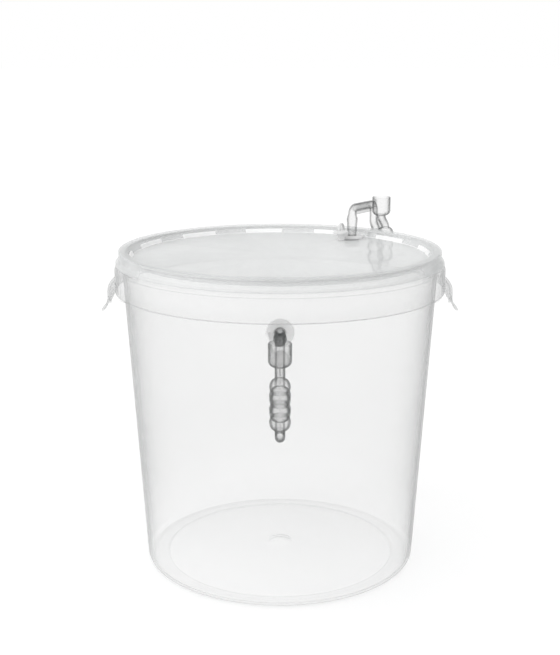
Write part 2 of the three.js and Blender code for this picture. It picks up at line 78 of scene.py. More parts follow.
def port(origin, along, out):
    """The frame of a hole: its X axis lies along the panel, and its Z axis points out of the hole."""
    turn = Matrix((along, out.cross(along), out)).transposed()
    return Matrix.Translation(origin) @ turn.to_4x4()


lid_hole = Vector(JOINTS["lid_airlock_turn"]["pos_m"])
LID_PORT = port(lid_hole, ((lid_hole - AXIS) * Vector((1, 1, 0))).normalized(), UP)
wall_out = Vector(JOINTS["wall_airlock_turn"]["axis"]).normalized()
WALL_PORT = port(Vector(JOINTS["wall_airlock_turn"]["pos_m"]), Vector((1, 0, 0)).cross(wall_out), wall_out)


def length(name, value, description):
    return FloatProperty(name=name, description=description, default=value, unit="LENGTH", precision=5)


def angle(name, degrees, description):
    return FloatProperty(name=name, description=description, default=math.radians(degrees), subtype="ANGLE")


def share(name, value, description):
    return FloatProperty(
        name=name, description=description, default=value, min=0.0, max=1.0, subtype="FACTOR"
    )


def strength(name, value, description):
    return FloatProperty(name=name, description=description, default=value, min=0.0)


def count(name, value, description):
    return IntProperty(name=name, description=description, default=value, min=1)


def colour(name, value, description):
    return FloatVectorProperty(
        name=name, description=description, default=value, size=4, min=0.0, max=1.0, subtype="COLOR"
    )


class BucketSizes(PropertyGroup):
    height: length("Height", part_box("bucket")[1].z, "Height of the lip's top above the floor")
    lip_radius: length("Lip radius", 0.1815, "Outer radius of the thin lip")
    lip_height: length("Lip height", 0.0048, "Height of the free lip above the slope outside it")
    rim_height: length("Rim height", 0.0115, "Depth of the slope's foot below the lip's top")
    wall: length("Wall", 0.0022, "Thickness of the wall")
    draft: angle("Draft", 3.55, "Lean of the wall")
    base_corner: length("Base corner", 0.009, "Radius of the corner between the wall and the foot")
    foot_width: length("Foot width", 0.014, "Width of the flat ring that the bucket stands on")
    floor: length("Floor", 0.0026, "Thickness of the floor")
    floor_rise: length("Floor rise", 0.0084, "Height of the domed floor above the foot")
    crease_width: length("Crease width", 0.0026, "Width of the sunk crease around the domed floor")
    crease_depth: length("Crease depth", 0.0008, "Depth of the crease below the foot's top")
    gate_radius: length("Gate radius", 0.0145, "Radius of the bump in the middle of the floor")
    gate_rise: length("Gate rise", 0.0038, "Height of the bump above the floor")
    skirt_standoff: length("Skirt stand-off", 0.0085, "Distance of the skirt outside the lip")
    skirt_depth: length("Skirt depth", 0.0428, "Depth of the skirt's edge below the lip's top")
    skirt_wall: length("Skirt wall", 0.0023, "Thickness of the skirt")
    shoulder_width: length("Shoulder width", 0.004, "Width of the slope outside the lip")
    shoulder_drop: length("Shoulder drop", 0.0074, "Height of the rounded shoulder above the skirt")
    line_width: length("Line width", 0.0007, "Height of the sharp line at the slope's foot")
    # The second line on the rounded shoulder is a painted dark line on a marked face
    shade_line_turn: angle("Line turn", 25, "Place of the second line on the rounded shoulder")


class GripSizes(PropertyGroup):
    drop: length("Drop", 0.0111, "Depth of the hood's top below the skirt's rounded shoulder")
    reach: length("Reach", 0.0087, "Reach of the hood outside the skirt")
    roof_drop: length("Roof drop", 0.0115, "Height of the hood's rounded roof")
    roof_sweep: angle("Roof sweep", 60, "Turn of the hood's roof between its eaves and the skirt")
    wall: length("Wall", 0.0024, "Thickness of the hood")
    tail: length("Tail", 0.0052, "Depth of the hood below the skirt")
    half_angle: angle("Half angle", 17.8, "Half of the hood's arc")
    rib_angle: angle("Rib angle", 0.8, "Arc of a rib at the hood's end")
    rib_inset: angle("Rib inset", 0.08, "Arc between a rib and the hood's end")
    rib_root: length("Rib root", 0.0045, "Depth of a rib at the skirt")
    rib_edge: length("Rib edge", 0.0125, "Depth of a rib at the hood")
    gusset_drop: length("Gusset drop", 0.007, "Depth of a gusset below the skirt")
    lip_reach: length("Lip reach", 0.007, "Flare of the finger lip outside the hood")
    lip_drop: length("Lip drop", 0.017, "Depth of the finger lip")
    lip_half_angle: angle("Lip half angle", 7, "Half of the finger lip's arc")
    lip_round: length("Lip round", 0.008, "Radius of the finger lip's corners")


class LidSizes(PropertyGroup):
    wall: length("Wall", 0.002, "Thickness of the lid")
    slack: length("Slack", 0.0015, "Play of the channel around the bucket's lip")
    rim_inset: length("Rim inset", 0.0028, "Width of the rim inside the channel")
    rim_round: length("Rim round", 0.0012, "Radius of the rim's upper edges")
    recess: length("Recess", 0.0093, "Depth of the panel below the rim")
    recess_slope: length("Recess slope", 0.0045, "Lean of the recess's side")
    flare: length("Flare", 0.0036, "Flare of the lid's edge")
    flare_height: length("Flare height", 0.0062, "Height of the flared edge")
    foot_gap: length("Foot gap", 0.0003, "Gap between the lid's edge and the shoulder")
    seal: length("Seal", 0.0017, "Thickness of the seal in the channel")
    seal_gap: length("Seal gap", 0.0003, "Gap around the seal")
    lug_count: count("Lugs", 12, "Number of stacking lugs")
    lug_half_angle: angle("Lug half angle", 8, "Half of a lug's arc")
    lug_first: angle("First lug", 7, "Place of the first lug")
    lug_height: length("Lug height", 0.0044, "Height of a lug above the panel")
    lug_step: length("Lug step", 0.0016, "Reach of a lug inside the recess's side")
    snap_reach: length("Snap reach", 0.0009, "Reach of a snap rib inside the lid's edge")
    snap_half_angle: angle("Snap half angle", 7, "Half of a snap rib's arc")


class GrommetSizes(PropertyGroup):
    hole_radius: length("Hole radius", 0.007009, "Radius of the hole in the panel")
    neck_gap: length("Neck gap", 0.0003, "Gap around the neck and under the flange")
    flange_radius: length("Flange radius", 0.014509, "Radius of the flange")
    flange: length("Flange", 0.003, "Thickness of the flange")
    flange_round: length("Flange round", 0.0008, "Radius of the flange's edges")
    bulge: length("Bulge", 0.0025, "Reach of the body behind the panel")
    body_length: length("Body length", 0.008, "Length of the body behind the panel")
    mouth: length("Mouth", 0.0011, "Width of the chamfer at the mouth")
    insert: length("Insert", 0.012, "Length of the stem that goes into the grommet")


class PlugSizes(PropertyGroup):
    gap: length("Gap", 0.0018, "Gap between the plug's cap and the flange")
    cap_radius: length("Cap radius", 0.0092, "Radius of the plug's cap")
    cap: length("Cap", 0.0032, "Thickness of the cap")
    dimple_radius: length("Dimple radius", 0.005704, "Radius of the dimple in the cap")
    dimple_floor: length("Dimple floor", 0.00506, "Radius of the dimple's floor")
    pin_radius: length("Pin radius", 0.0048, "Radius of the pin")
    pin_length: length("Pin length", 0.008, "Length of the pin under the cap")
    pin_lift: length("Pin lift", 0.0006, "Height of the pin's end over the panel")
    strap_width: length("Strap width", 0.0034, "Width of the strap")
    strap: length("Strap", 0.0022, "Thickness of the strap")
    strap_rise: length("Strap rise", 0.018, "Pull of the strap's arch over the flange")
    strap_fall: length("Strap fall", 0.009, "Pull of the strap's arch over the cap")
    root_height: length("Root height", 0.0018, "Height of the strap's hinge over the flange")


class AirlockSizes(PropertyGroup):
    stem_tip: length("Stem tip", 0.0044, "Radius of the stem's tip")
    stem_base: length("Stem base", 0.0069, "Radius of the stem's base")
    stem_length: length("Stem length", 0.033, "Length of the tapered stem")
    bent_neck: length("Bent neck", 0.0057, "Length between the stem and the bent airlock's first bend")
    straight_neck: length("Straight neck", 0.0083, "Length between the stem and the straight airlock's bend")
    arm_length: length("Arm length", 0.051309, "Length of the bent airlock's arm")
    tube: length("Tube", 0.0052, "Outer radius of the tube")
    wall: length("Wall", 0.0012, "Thickness of the tube")
    bend: length("Bend", 0.0075, "Radius of a bend")
    down_straight: length("Down tube", 0.022, "Length of the straight down tube")
    down_shift: length("Down shift", 0.012, "Height of the tube's shift to the bulbs")
    column_offset: length("Column offset", 0.006, "Shift of the first column of bulbs")
    bulb: length("Bulb", 0.0107, "Outer radius of a bulb")
    scallop: length("Scallop", 0.0026, "Depth of the groove between two bulbs")
    bulb_gap: length("Bulb gap", 0.0026, "Gap between the two columns")
    bulb_pitch: length("Bulb pitch", 0.01335, "Distance between two bulbs")
    bulb_count: count("Bulbs", 3, "Number of bulbs in a column")
    shoulder: length("Shoulder", 0.0088, "Height of the rounding at a column's end")
    cup: length("Cup", 0.0118, "Outer radius of the cup")
    cup_gap: length("Cup gap", 0.0016, "Gap between the down tube and the cup")
    cup_rise: length("Cup rise", 0.007, "Height of the cup's mouth above the bend")
    cup_depth: length("Cup depth", 0.0176, "Depth of the cup's straight wall")
    cup_round: length("Cup round", 0.0062, "Height of the cup's rounded bottom")
    cup_chamfer: length("Cup chamfer", 0.0006, "Height of the chamfer at the cup's mouth, twice its width")
    web: length("Web", 0.0016, "Thickness of the web")
    web_strip: length("Web strip", 0.0034, "Width of the strip under the arm")


class Finishes(PropertyGroup):
    # The grey bucket tones are the plastic's own tone; on outlines and marked faces they also paint dark
    # lines of shade and refraction
    bucket_pale: colour("Bucket, pale", (0.54, 0.545, 0.545, 1), "Paler tone of the bucket's plastic")
    bucket_deep: colour("Bucket, deep", (0.48, 0.485, 0.485, 1), "Deeper tone of the bucket's plastic")
    # Painted light: this milky tone paints a glow over the bucket's foot and light over its rim
    bucket_painted_light_tone: colour("Bucket, milky", (0.96, 0.965, 0.965, 1), "Tone of the bucket's foot and rim")
    bucket_veil: share("Bucket veil", 0.085, "Cover of the bucket's plastic, seen straight on")
    # A thinner veil at the foot lets the white floor show, for the painted glow
    bucket_foot_glow_veil: share("Bucket base veil", 0.03, "Cover of the bucket's plastic at its foot")
    bucket_edge: share("Bucket edge", 0.90, "Cover of the bucket's plastic, seen along its surface")
    bucket_falloff: strength("Bucket falloff", 5.0, "How late the bucket's cover grows towards its outline")
    bucket_depth: strength("Bucket depth", 3.5, "Light that a metre of the bucket's plastic takes")
    bucket_foot_painted_glow: share("Bucket foot white", 0.95, "Share of the milky tone at the bucket's foot")
    bucket_rim_painted_light: share("Bucket rim white", 0.45, "Share of the milky tone at the bucket's rim")
    lid_pale: colour("Lid, pale", (0.72, 0.73, 0.73, 1), "Paler tone of the lid's plastic")
    lid_deep: colour("Lid, deep", (0.66, 0.67, 0.67, 1), "Deeper tone of the lid's plastic")
    # Painted highlight: this milky tone whitens the lid's lugs and the panel's edge
    lid_painted_highlight: colour("Lid, milky", (0.98, 0.98, 0.98, 1), "Tone of the lid's lugs")
    lid_veil: share("Lid veil", 0.28, "Cover of the lid's plastic, seen straight on")
    lid_edge: share("Lid edge", 0.60, "Cover of the lid's plastic, seen along its surface")
    lid_falloff: strength("Lid falloff", 3.0, "How late the lid's cover grows towards its outline")
    lid_depth: strength("Lid depth", 4.0, "Light that a metre of the lid's plastic takes")
    rubber_pale: colour("Rubber, pale", (0.74, 0.74, 0.74, 1), "Paler tone of the rubber")
    rubber_deep: colour("Rubber, deep", (0.66, 0.66, 0.66, 1), "Deeper tone of the rubber")
    # Painted refraction: these near-black tones, seen where the cover grows along the surface, paint the dark
    # refraction at the airlocks' outlines
    clear_painted_dark_pale: colour("Clear, pale", (0.085, 0.09, 0.09, 1), "Paler tone of the clear plastic's edges")
    clear_painted_dark_deep: colour("Clear, deep", (0.06, 0.065, 0.065, 1), "Deeper tone of the clear plastic's edges")
    clear_veil: share("Clear veil", 0.02, "Cover of the clear plastic, seen straight on")
    clear_edge: share("Clear edge", 0.95, "Cover of the clear plastic, seen along its surface")
    clear_falloff: strength("Clear falloff", 2.5, "How late the clear plastic's cover grows")
    clear_depth: strength("Clear depth", 30.0, "Light that a metre of the clear plastic takes")
    shade: share("Shade", 0.12, "Share of a clear piece's cover that its shadow keeps")


# Least covers of marked faces: on the bucket, grey faces that paint dark lines of shade and refraction along
# edges, lines, the crease and the grips; on the lid, lugs and the panel's edge that take a painted white
# highlight
class PaintedCovers(PropertyGroup):
    hood_end_shade: share("Hood end", 0.40, "Least cover of the ends of a grip's hood")
    rib: share("Rib", 0.16, "Least cover of the sides of a grip's ribs")
    finger_lip: share("Finger lip", 0.24, "Least cover of a grip's finger lip")
    hood_roof_shade: share("Hood roof", 0.20, "Least cover of the roof of a grip's hood")
    hood_wall_shade: share("Hood wall", 0.06, "Least cover of the wall of a grip's hood")
    grip_loss: share("Grip loss", 0.45, "Share of its cover by slant that a grip loses")
    skirt_edge_shade: share("Skirt edge", 0.38, "Least cover of the skirt's lower edge")
    slope_shade_line: share("Slope line", 0.34, "Least cover of the line at the slope's foot")
    shoulder_shade_line: share("Shoulder line", 0.30, "Least cover of the line on the rounded shoulder")
    lip_top_shade: share("Lip top", 0.25, "Least cover of the lip's top")
    foot: share("Foot", 0.12, "Least cover of the foot's outer edge")
    crease: share("Crease", 0.16, "Least cover of the crease in the floor")
    # The floor's loss of cover lets the white show and keeps its painted glow
    floor_glow_loss: share("Floor loss", 0.7, "Share of its cover by slant that the floor loses")
    # The covers of the lugs and of the panel's edge also set their painted white highlight
    lug: share("Lug", 0.70, "Least cover of the lid's lugs")
    panel_edge_highlight: share("Panel edge", 0.50, "Least cover of the rounding at the edge of the lid's panel")
    lid_rim: share("Lid rim", 0.26, "Least cover of the lid's rim")


class StageSettings(PropertyGroup):
    distance: length("Camera distance", 1.330, "Distance of the camera in front of the bucket's axis")
    height: length("Camera height", 0.599, "Height of the camera above the floor")
    tilt: angle("Camera tilt", 76.43, "Tilt of the camera up from straight down")
    lens: FloatProperty(name="Lens", description="Focal length", default=75.03, unit="CAMERA")
    ambient: strength("Ambient light", 0.85, "Light that comes from all around")
    sun: strength("Sun", 1.3, "Strength of the large soft lamp")
    sun_tilt: angle("Sun tilt", 32, "Tilt of the lamp towards the front")
    sun_lean: angle("Sun lean", -40, "Lean of the lamp to the left")
    sun_size: angle("Sun size", 70, "Angle that the lamp fills")
    floor_size: length("Floor size", 60.0, "Side of the floor")
    floor_tone: colour("Floor", (0.90, 0.90, 0.90, 1), "Tone of the floor")
    floor_lift: strength("Floor lift", 0.06, "Light that the floor adds for the camera")


class FermenterSettings(PropertyGroup):
    bucket: PointerProperty(type=BucketSizes, name="Bucket")
    grips: PointerProperty(type=GripSizes, name="Grips")
    lid: PointerProperty(type=LidSizes, name="Lid")
    grommets: PointerProperty(type=GrommetSizes, name="Grommets")
    plugs: PointerProperty(type=PlugSizes, name="Plugs")
    airlocks: PointerProperty(type=AirlockSizes, name="Airlocks")
    finishes: PointerProperty(type=Finishes, name="Finishes")
    covers: PointerProperty(type=PaintedCovers, name="Edge covers")
    stage: PointerProperty(type=StageSettings, name="Stage")


# Depth by which a piece that is joined to another reaches into it
INSET = 0.0001

# Distance within which the middle of a face counts as lying on a surface
NEAR = 4 * INSET

# Lengths, turns and shares below this count as none
TINY = 1e-6

# Side of the plane that is merged into a wire's first point
SEED_SIZE = 0.01

# Edges that are flatter than this are shaded smooth
SMOOTH_ANGLE = math.radians(32)

# Share of a face's normal that points around the axis, above which it is an end
END_FACE = 0.7

# Arc of the blank that the finger lip is cut from, against the lip's own
BLANK_SPREAD = 1.2

# Heights over the flange of the strap's flared foot, and its widths against the strap's own
STRAP_FOOT = ((-0.0003, 1.5), (0.0, 1.35), (0.0007, 1.1))

# Steps around or along the pieces
ROUND_STEPS = 160
SHOULDER_STEPS = 9
DOME_STEPS = 12
GATE_STEPS = 8
GRIP_STEPS = 36
TIE_STEPS = 2
LUG_STEPS = 12
BUSH_STEPS = 64
STOPPER_STEPS = 48
STRAP_STEPS = 33
STRAP_SIDES = 20
TUBE_SIDES = 24
BULB_STEPS = 12
U_TURN_STEPS = 20

# Outlines: lists of (radius, height) points


def arc(centre, radii, start, end, steps=8):
    """Points of an elliptical arc, from one angle to another in degrees."""
    turns = [math.radians(start + (end - start) * i / steps) for i in range(steps + 1)]
    return [(centre[0] + radii[0] * math.cos(t), centre[1] + radii[1] * math.sin(t)) for t in turns]


def softened(corners, steps=4):
    """An outline of corners (radius, height, rounding), each of them rounded by its last number."""
    points = []
    for i, (r, z, rounding) in enumerate(corners):
        here = Vector((r, z))
        if rounding == 0:
            points.append((r, z))
            continue
        back = (Vector(corners[i - 1][:2]) - here).normalized()
        ahead = (Vector(corners[(i + 1) % len(corners)][:2]) - here).normalized()
        half = back.angle(ahead) / 2
        middle = here + (back + ahead).normalized() * (rounding / math.sin(half))
        first = here + back * (rounding / math.tan(half)) - middle
        last = here + ahead * (rounding / math.tan(half)) - middle
        points += [tuple(middle + first.slerp(last, k / steps) * rounding) for k in range(steps + 1)]
    return points


# Modelling helpers


def pick(piece):
    bpy.ops.object.select_all(action="DESELECT")
    piece.select_set(True)
    bpy.context.view_layer.objects.active = piece


def wire(name, points):
    """A new object in edit mode, with a line of edges drawn through the points."""
    bpy.ops.object.select_all(action="DESELECT")
    bpy.ops.mesh.primitive_plane_add(size=SEED_SIZE, location=points[0])
    piece = bpy.context.active_object
    piece.name = name
    bpy.ops.object.transform_apply(location=True, rotation=True, scale=True)
    bpy.ops.object.mode_set(mode="EDIT")
    bpy.ops.mesh.select_all(action="SELECT")
    bpy.ops.mesh.merge(type="CENTER")
    for here, there in zip(points, points[1:]):
        bpy.ops.mesh.extrude_vertices_move(TRANSFORM_OT_translate={"value": there - here})
    bpy.ops.mesh.select_all(action="SELECT")
    return piece


def close_mesh():
    """Merges doubles, caps open ends, turns the faces outwards and leaves edit mode."""
    bpy.ops.mesh.select_all(action="SELECT")
    bpy.ops.mesh.remove_doubles(threshold=TINY)
    bpy.ops.mesh.select_all(action="SELECT")
    bpy.ops.mesh.fill_holes(sides=0)
    bpy.ops.mesh.select_all(action="SELECT")
    bpy.ops.mesh.normals_make_consistent(inside=False)
    bpy.ops.object.mode_set(mode="OBJECT")


def turned(name, outline, steps, centre=AXIS, middle=0.0, half_turn=None):
    """Spins an outline around an upright axis: all the way round, or over an arc around a middle angle."""
    start = 0.0 if half_turn is None else middle + half_turn
    side = Vector((math.cos(start), math.sin(start), 0))
    points = [centre + side * r + UP * z for r, z in outline]
    if outline[0][0] > 0:
        points.append(points[0])
    piece = wire(name, points)
    sweep = 2 * math.pi if half_turn is None else 2 * half_turn
    bpy.ops.mesh.spin(steps=steps, angle=sweep, center=centre, axis=UP)
    close_mesh()
    return piece


def placed(piece, matrix):
    """Moves a piece that was modelled at the origin to its place, and keeps the place in its mesh."""
    pick(piece)
    piece.matrix_world = matrix
    bpy.ops.object.transform_apply(location=True, rotation=True, scale=True)
    return piece


def around(turn):
    """A turn around the bucket's axis."""
    return Matrix.Translation(AXIS) @ Matrix.Rotation(turn, 4, "Z") @ Matrix.Translation(-AXIS)


def copied_around(piece, turns):
    """Copies a piece around the bucket's axis, and joins the copies to it."""
    copies = []
    for turn in turns:
        pick(piece)
        bpy.ops.object.duplicate()
        copies.append(placed(bpy.context.active_object, around(turn)))
    pick(piece)
    for copy in copies:
        copy.select_set(True)
    bpy.ops.object.join()
    return piece


def combine(piece, tool, operation="UNION"):
    """Adds a tool to a piece or cuts it out of the piece, and removes the tool."""
    modifier = piece.modifiers.new("Combine", "BOOLEAN")
    modifier.object = tool
    modifier.operation = operation
    modifier.solver = "EXACT"
    pick(piece)
    bpy.ops.object.modifier_apply(modifier=modifier.name)
    bpy.data.objects.remove(tool)
    return piece


def plate(name, outline, thickness):
    """A flat plate of an outline in the XZ plane, with half of its thickness on either side."""
    points = [Vector((x, -thickness / 2, z)) for x, z in outline]
    piece = wire(name, points)
    bpy.ops.mesh.edge_face_add()
    bpy.ops.mesh.extrude_region_move(TRANSFORM_OT_translate={"value": (0, thickness, 0)})
    close_mesh()
    return piece


def mark_painted_covers(piece, rule):
    """Marks each face's least cover and its loss by slant, by a rule of its radius, height and turn: the
    marks that carry painted dark lines, painted highlights and the painted glow.
    """
    cover = piece.data.attributes.new("painted_mark_cover", "FLOAT", "FACE")
    plain = piece.data.attributes.new("slant_loss", "FLOAT", "FACE")
    for face, least, loss in zip(piece.data.polygons, cover.data, plain.data):
        reach = (face.center - AXIS).xy
        sideways = abs(face.normal.xy.cross(reach)) / max(reach.length, TINY)
        least.value, loss.value = rule(reach.length, face.center.z, sideways)


def dress(piece, finish, slot, body, *nodes):
    """Shades a finished piece, gives it its finish, and sets what it stands for and moves with."""
    pick(piece)
    bpy.ops.object.mode_set(mode="EDIT")
    bpy.ops.mesh.select_mode(type="EDGE")
    bpy.ops.mesh.select_all(action="DESELECT")
    bpy.ops.mesh.select_non_manifold()
    bpy.ops.mesh.select_mode(type="VERT")
    bpy.ops.object.mode_set(mode="OBJECT")
    if any(edge.select for edge in piece.data.edges):
        raise RuntimeError(piece.name + " isn't closed")
    bpy.ops.object.shade_smooth_by_angle(angle=SMOOTH_ANGLE)
    piece.data.materials.clear()
    piece.data.materials.append(finish)
    if nodes:
        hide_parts(*nodes)
    if body:
        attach(piece, body)
    return piece


# Bucket


def rim_foot(bucket):
    return bucket.height - bucket.rim_height


def wall_radius(bucket, z):
    return bucket.lip_radius - (rim_foot(bucket) - z) * math.tan(bucket.draft)


def foot_radius(bucket):
    return wall_radius(bucket, bucket.base_corner) - bucket.base_corner


def skirt_heights(bucket):
    """Heights of the skirt's straight part and its edge."""
    return rim_foot(bucket) - bucket.shoulder_drop, bucket.height - bucket.skirt_depth


def bucket_outline(bucket):
    """Half of the bucket's section, from the floor's underside round the skirt and lip to its inside."""
    skirt_top, skirt_bottom = skirt_heights(bucket)
    foot_outer = foot_radius(bucket)
    foot_inner = foot_outer - bucket.foot_width
    inner_corner = bucket.base_corner - bucket.wall
    shoulder = (bucket.lip_radius + bucket.shoulder_width, skirt_top)
    skirt = bucket.lip_radius + bucket.skirt_standoff
    reach = skirt - shoulder[0]
    slope = bucket.shoulder_width / (bucket.rim_height - bucket.lip_height)
    thin = bucket.skirt_wall
    edge = thin / 2
    half = bucket.wall / 2
    gate = bucket.gate_radius
    dome = []
    for i in range(GATE_STEPS):
        t = i / GATE_STEPS
        dome.append((gate * t, bucket.floor_rise + bucket.gate_rise * (1 - t * t)))
    for i in range(DOME_STEPS):
        t = i / DOME_STEPS
        dome.append((gate + (foot_inner - gate) * t, bucket.floor_rise * (1 - t * t)))
    return [
        *dome,
        (foot_inner, 0),
        *arc((foot_outer, bucket.base_corner), (bucket.base_corner, bucket.base_corner), -90, 0),
        (bucket.lip_radius, rim_foot(bucket)),
        (bucket.lip_radius, rim_foot(bucket) + thin),
        *arc(shoulder, (reach - thin, bucket.shoulder_drop - thin), 90, 0),
        *arc((skirt - edge, skirt_bottom + edge), (edge, edge), 180, 360),
        *arc(shoulder, (reach, bucket.shoulder_drop), 0, 90, SHOULDER_STEPS),
        (shoulder[0] - slope * bucket.line_width, rim_foot(bucket) + bucket.line_width),
        (bucket.lip_radius, bucket.height - bucket.lip_height),
        *arc((bucket.lip_radius - half, bucket.height - half), (half, half), 0, 180),
        (bucket.lip_radius - bucket.wall, rim_foot(bucket)),
        *arc((foot_outer, bucket.floor + inner_corner), (inner_corner, inner_corner), 0, -90),
        (foot_inner, bucket.floor),
        (foot_inner - bucket.crease_width, bucket.floor - bucket.crease_depth),
        *[(r, z + bucket.floor) for r, z in reversed(dome)],
    ]


def finger_lip(bucket, grip):
    """The tongue that curls outwards under a grip's hood, with rounded lower corners."""
    tail = skirt_heights(bucket)[1] - grip.tail
    outer = bucket.lip_radius + bucket.skirt_standoff + grip.reach
    inner = outer - grip.wall
    high = tail + grip.wall
    flare = 2 * math.atan(grip.lip_reach / grip.lip_drop)
    bend = grip.lip_drop / math.sin(flare)
    centre = (outer + bend, tail)
    end = 180 + math.degrees(flare)
    inside = bend + grip.wall - INSET
    outside = bend + INSET
    middle = bend + grip.wall / 2
    tip = (centre[0] + middle * math.cos(math.radians(end)), centre[1] + middle * math.sin(math.radians(end)))
    tip_round = grip.wall / 2 - INSET
    outline = [
        (outer - INSET, high),
        (inner + INSET, high),
        *arc(centre, (inside, inside), 180, end),
        *arc(tip, (tip_round, tip_round), end, end + 180)[1:-1],
        *arc(centre, (outside, outside), end, 180),
    ]
    piece = turned("finger_lip", outline, GRIP_STEPS, half_turn=BLANK_SPREAD * grip.lip_half_angle)
    half = outer * math.sin(grip.lip_half_angle)
    low = tail - (bend + grip.wall) * math.sin(flare) - INSET
    tongue = softened([
        (-half, low, grip.lip_round),
        (half, low, grip.lip_round),
        (half, high + grip.wall, 0),
        (-half, high + grip.wall, 0),
    ], steps=8)
    sideways = Matrix.Translation(AXIS + Vector((outer, 0, 0))) @ Matrix.Rotation(math.pi / 2, 4, "Z")
    cutter = placed(plate("tongue", tongue, 4 * grip.lip_reach), sideways)
    return combine(piece, cutter, "INTERSECT")


def grip_piece(bucket, grip):
    """A grip on the right: a hood over the skirt with a finger lip, and a rib and a gusset at each end."""
    skirt_top, skirt_bottom = skirt_heights(bucket)
    skirt = bucket.lip_radius + bucket.skirt_standoff
    top = skirt_top - grip.drop
    outer = skirt + grip.reach
    inner = outer - grip.wall
    tail = skirt_bottom - grip.tail
    root = skirt - bucket.skirt_wall / 2
    half = grip.wall / 2
    across = grip.reach / (1 - math.cos(grip.roof_sweep))
    up = grip.roof_drop / math.sin(grip.roof_sweep)
    eaves = (outer - across, top - grip.roof_drop)
    sweep = math.degrees(grip.roof_sweep)
    roof = arc(eaves, (across, up), 0, sweep)
    ceiling = arc(eaves, (across - grip.wall, up - grip.wall), sweep, 0)
    hood = [(inner, tail), (outer, tail), *roof, (root, top), *ceiling]
    rib = [
        (root - 3 * INSET, top - grip.rib_root),
        (outer - half, top - grip.rib_edge),
        *arc(eaves, (across - half, up - half), 0, sweep),
        (root - 3 * INSET, top - half),
    ]
    gusset_z = skirt_bottom - grip.gusset_drop
    gusset_r = wall_radius(bucket, gusset_z)
    gusset = [
        (gusset_r - bucket.wall / 2, gusset_z),
        *arc((gusset_r, skirt_bottom), (root + 3 * INSET - gusset_r, grip.gusset_drop), -90, 0),
        (root + 3 * INSET, skirt_top),
        (wall_radius(bucket, skirt_top) - bucket.wall / 2, skirt_top),
    ]
    piece = turned("grip", hood, GRIP_STEPS, half_turn=grip.half_angle)
    combine(piece, finger_lip(bucket, grip))
    for side in (-1, 1):
        middle = side * (grip.half_angle - grip.rib_inset - grip.rib_angle / 2)
        for outline in (rib, gusset):
            tie = turned("tie", outline, TIE_STEPS, middle=middle, half_turn=grip.rib_angle / 2)
            combine(piece, tie)
    return piece


def bucket_painted_lines(bucket, grip, covers):
    """A rule for the bucket's marked faces: grey faces that paint dark lines of shade and refraction at its
    thin edges, the rim's lines, the crease and the grips, and the floor's loss of cover for the painted glow.
    """
    skirt_top, skirt_bottom = skirt_heights(bucket)
    skirt = bucket.lip_radius + bucket.skirt_standoff
    shoulder = bucket.lip_radius + bucket.shoulder_width
    foot = foot_radius(bucket) - bucket.foot_width
    hood = skirt + grip.reach - grip.wall
    tail = skirt_bottom - grip.tail
    eaves = skirt_top - grip.drop - grip.roof_drop
    shade_line_z = skirt_top + bucket.shoulder_drop * math.sin(bucket.shade_line_turn)
    shade_line_r = shoulder + (skirt - shoulder) * math.cos(bucket.shade_line_turn)

    def grip_shade_cover(r, z, sideways):
        if sideways > END_FACE:
            return covers.hood_end_shade if r > hood else covers.rib
        if z < tail:
            return covers.finger_lip
        return covers.hood_roof_shade if z > eaves else covers.hood_wall_shade

    def rule(r, z, sideways):
        # Grips, edges, rim lines, lip, foot and crease: grey marked faces that paint dark lines of shade and
        # refraction
        if r > skirt + NEAR:
            return grip_shade_cover(r, z, sideways), covers.grip_loss
        if r > skirt - bucket.skirt_wall - NEAR and abs(z - skirt_bottom) < bucket.skirt_wall / 2:
            return covers.skirt_edge_shade, 0.0
        above = z - rim_foot(bucket)
        on_slope = bucket.lip_radius + NEAR < r < shoulder
        if on_slope and bucket.line_width / 4 < above < bucket.line_width:
            return covers.slope_shade_line, 0.0
        if abs(z - shade_line_z) < NEAR and abs(r - shade_line_r) < NEAR:
            return covers.shoulder_shade_line, 0.0
        if z > bucket.height - bucket.wall / 2:
            return covers.lip_top_shade, 0.0
        if z < bucket.base_corner / 6 and r > foot + bucket.foot_width / 2:
            return covers.foot, 0.0
        if foot - bucket.crease_width < r < foot and bucket.crease_depth < z < bucket.floor:
            return covers.crease, 0.0
        # The floor loses cover by slant, for the painted glow at the foot
        if bucket.gate_radius < r < foot and z < bucket.floor_rise + bucket.floor:
            return 0.0, covers.floor_glow_loss
        return 0.0, 0.0

    return rule


def hole_cutter(radius, panel, matrix):
    bpy.ops.object.select_all(action="DESELECT")
    bpy.ops.mesh.primitive_cylinder_add(vertices=BUSH_STEPS, radius=radius, depth=6 * panel)
    return placed(bpy.context.active_object, matrix)


class FERMENTER_OT_bucket(Operator):
    """Models the bucket with its skirt, grips and wall hole as one moulding"""

    bl_idname = "fermenter.bucket"
    bl_label = "Bucket"

    def execute(self, context):
        settings = context.scene.fermenter
        bucket = settings.bucket
        piece = turned("bucket_moulding", bucket_outline(bucket), ROUND_STEPS)
        grips = copied_around(grip_piece(bucket, settings.grips), [math.pi])
        combine(piece, grips)
        combine(piece, hole_cutter(settings.grommets.hole_radius, bucket.wall, WALL_PORT), "DIFFERENCE")
        mark_painted_covers(piece, bucket_painted_lines(bucket, settings.grips, settings.covers))
        dress(piece, bucket_plastic(settings.finishes, bucket.height), "bucket_plastic", "bucket", "bucket")
        return {"FINISHED"}


# Lid


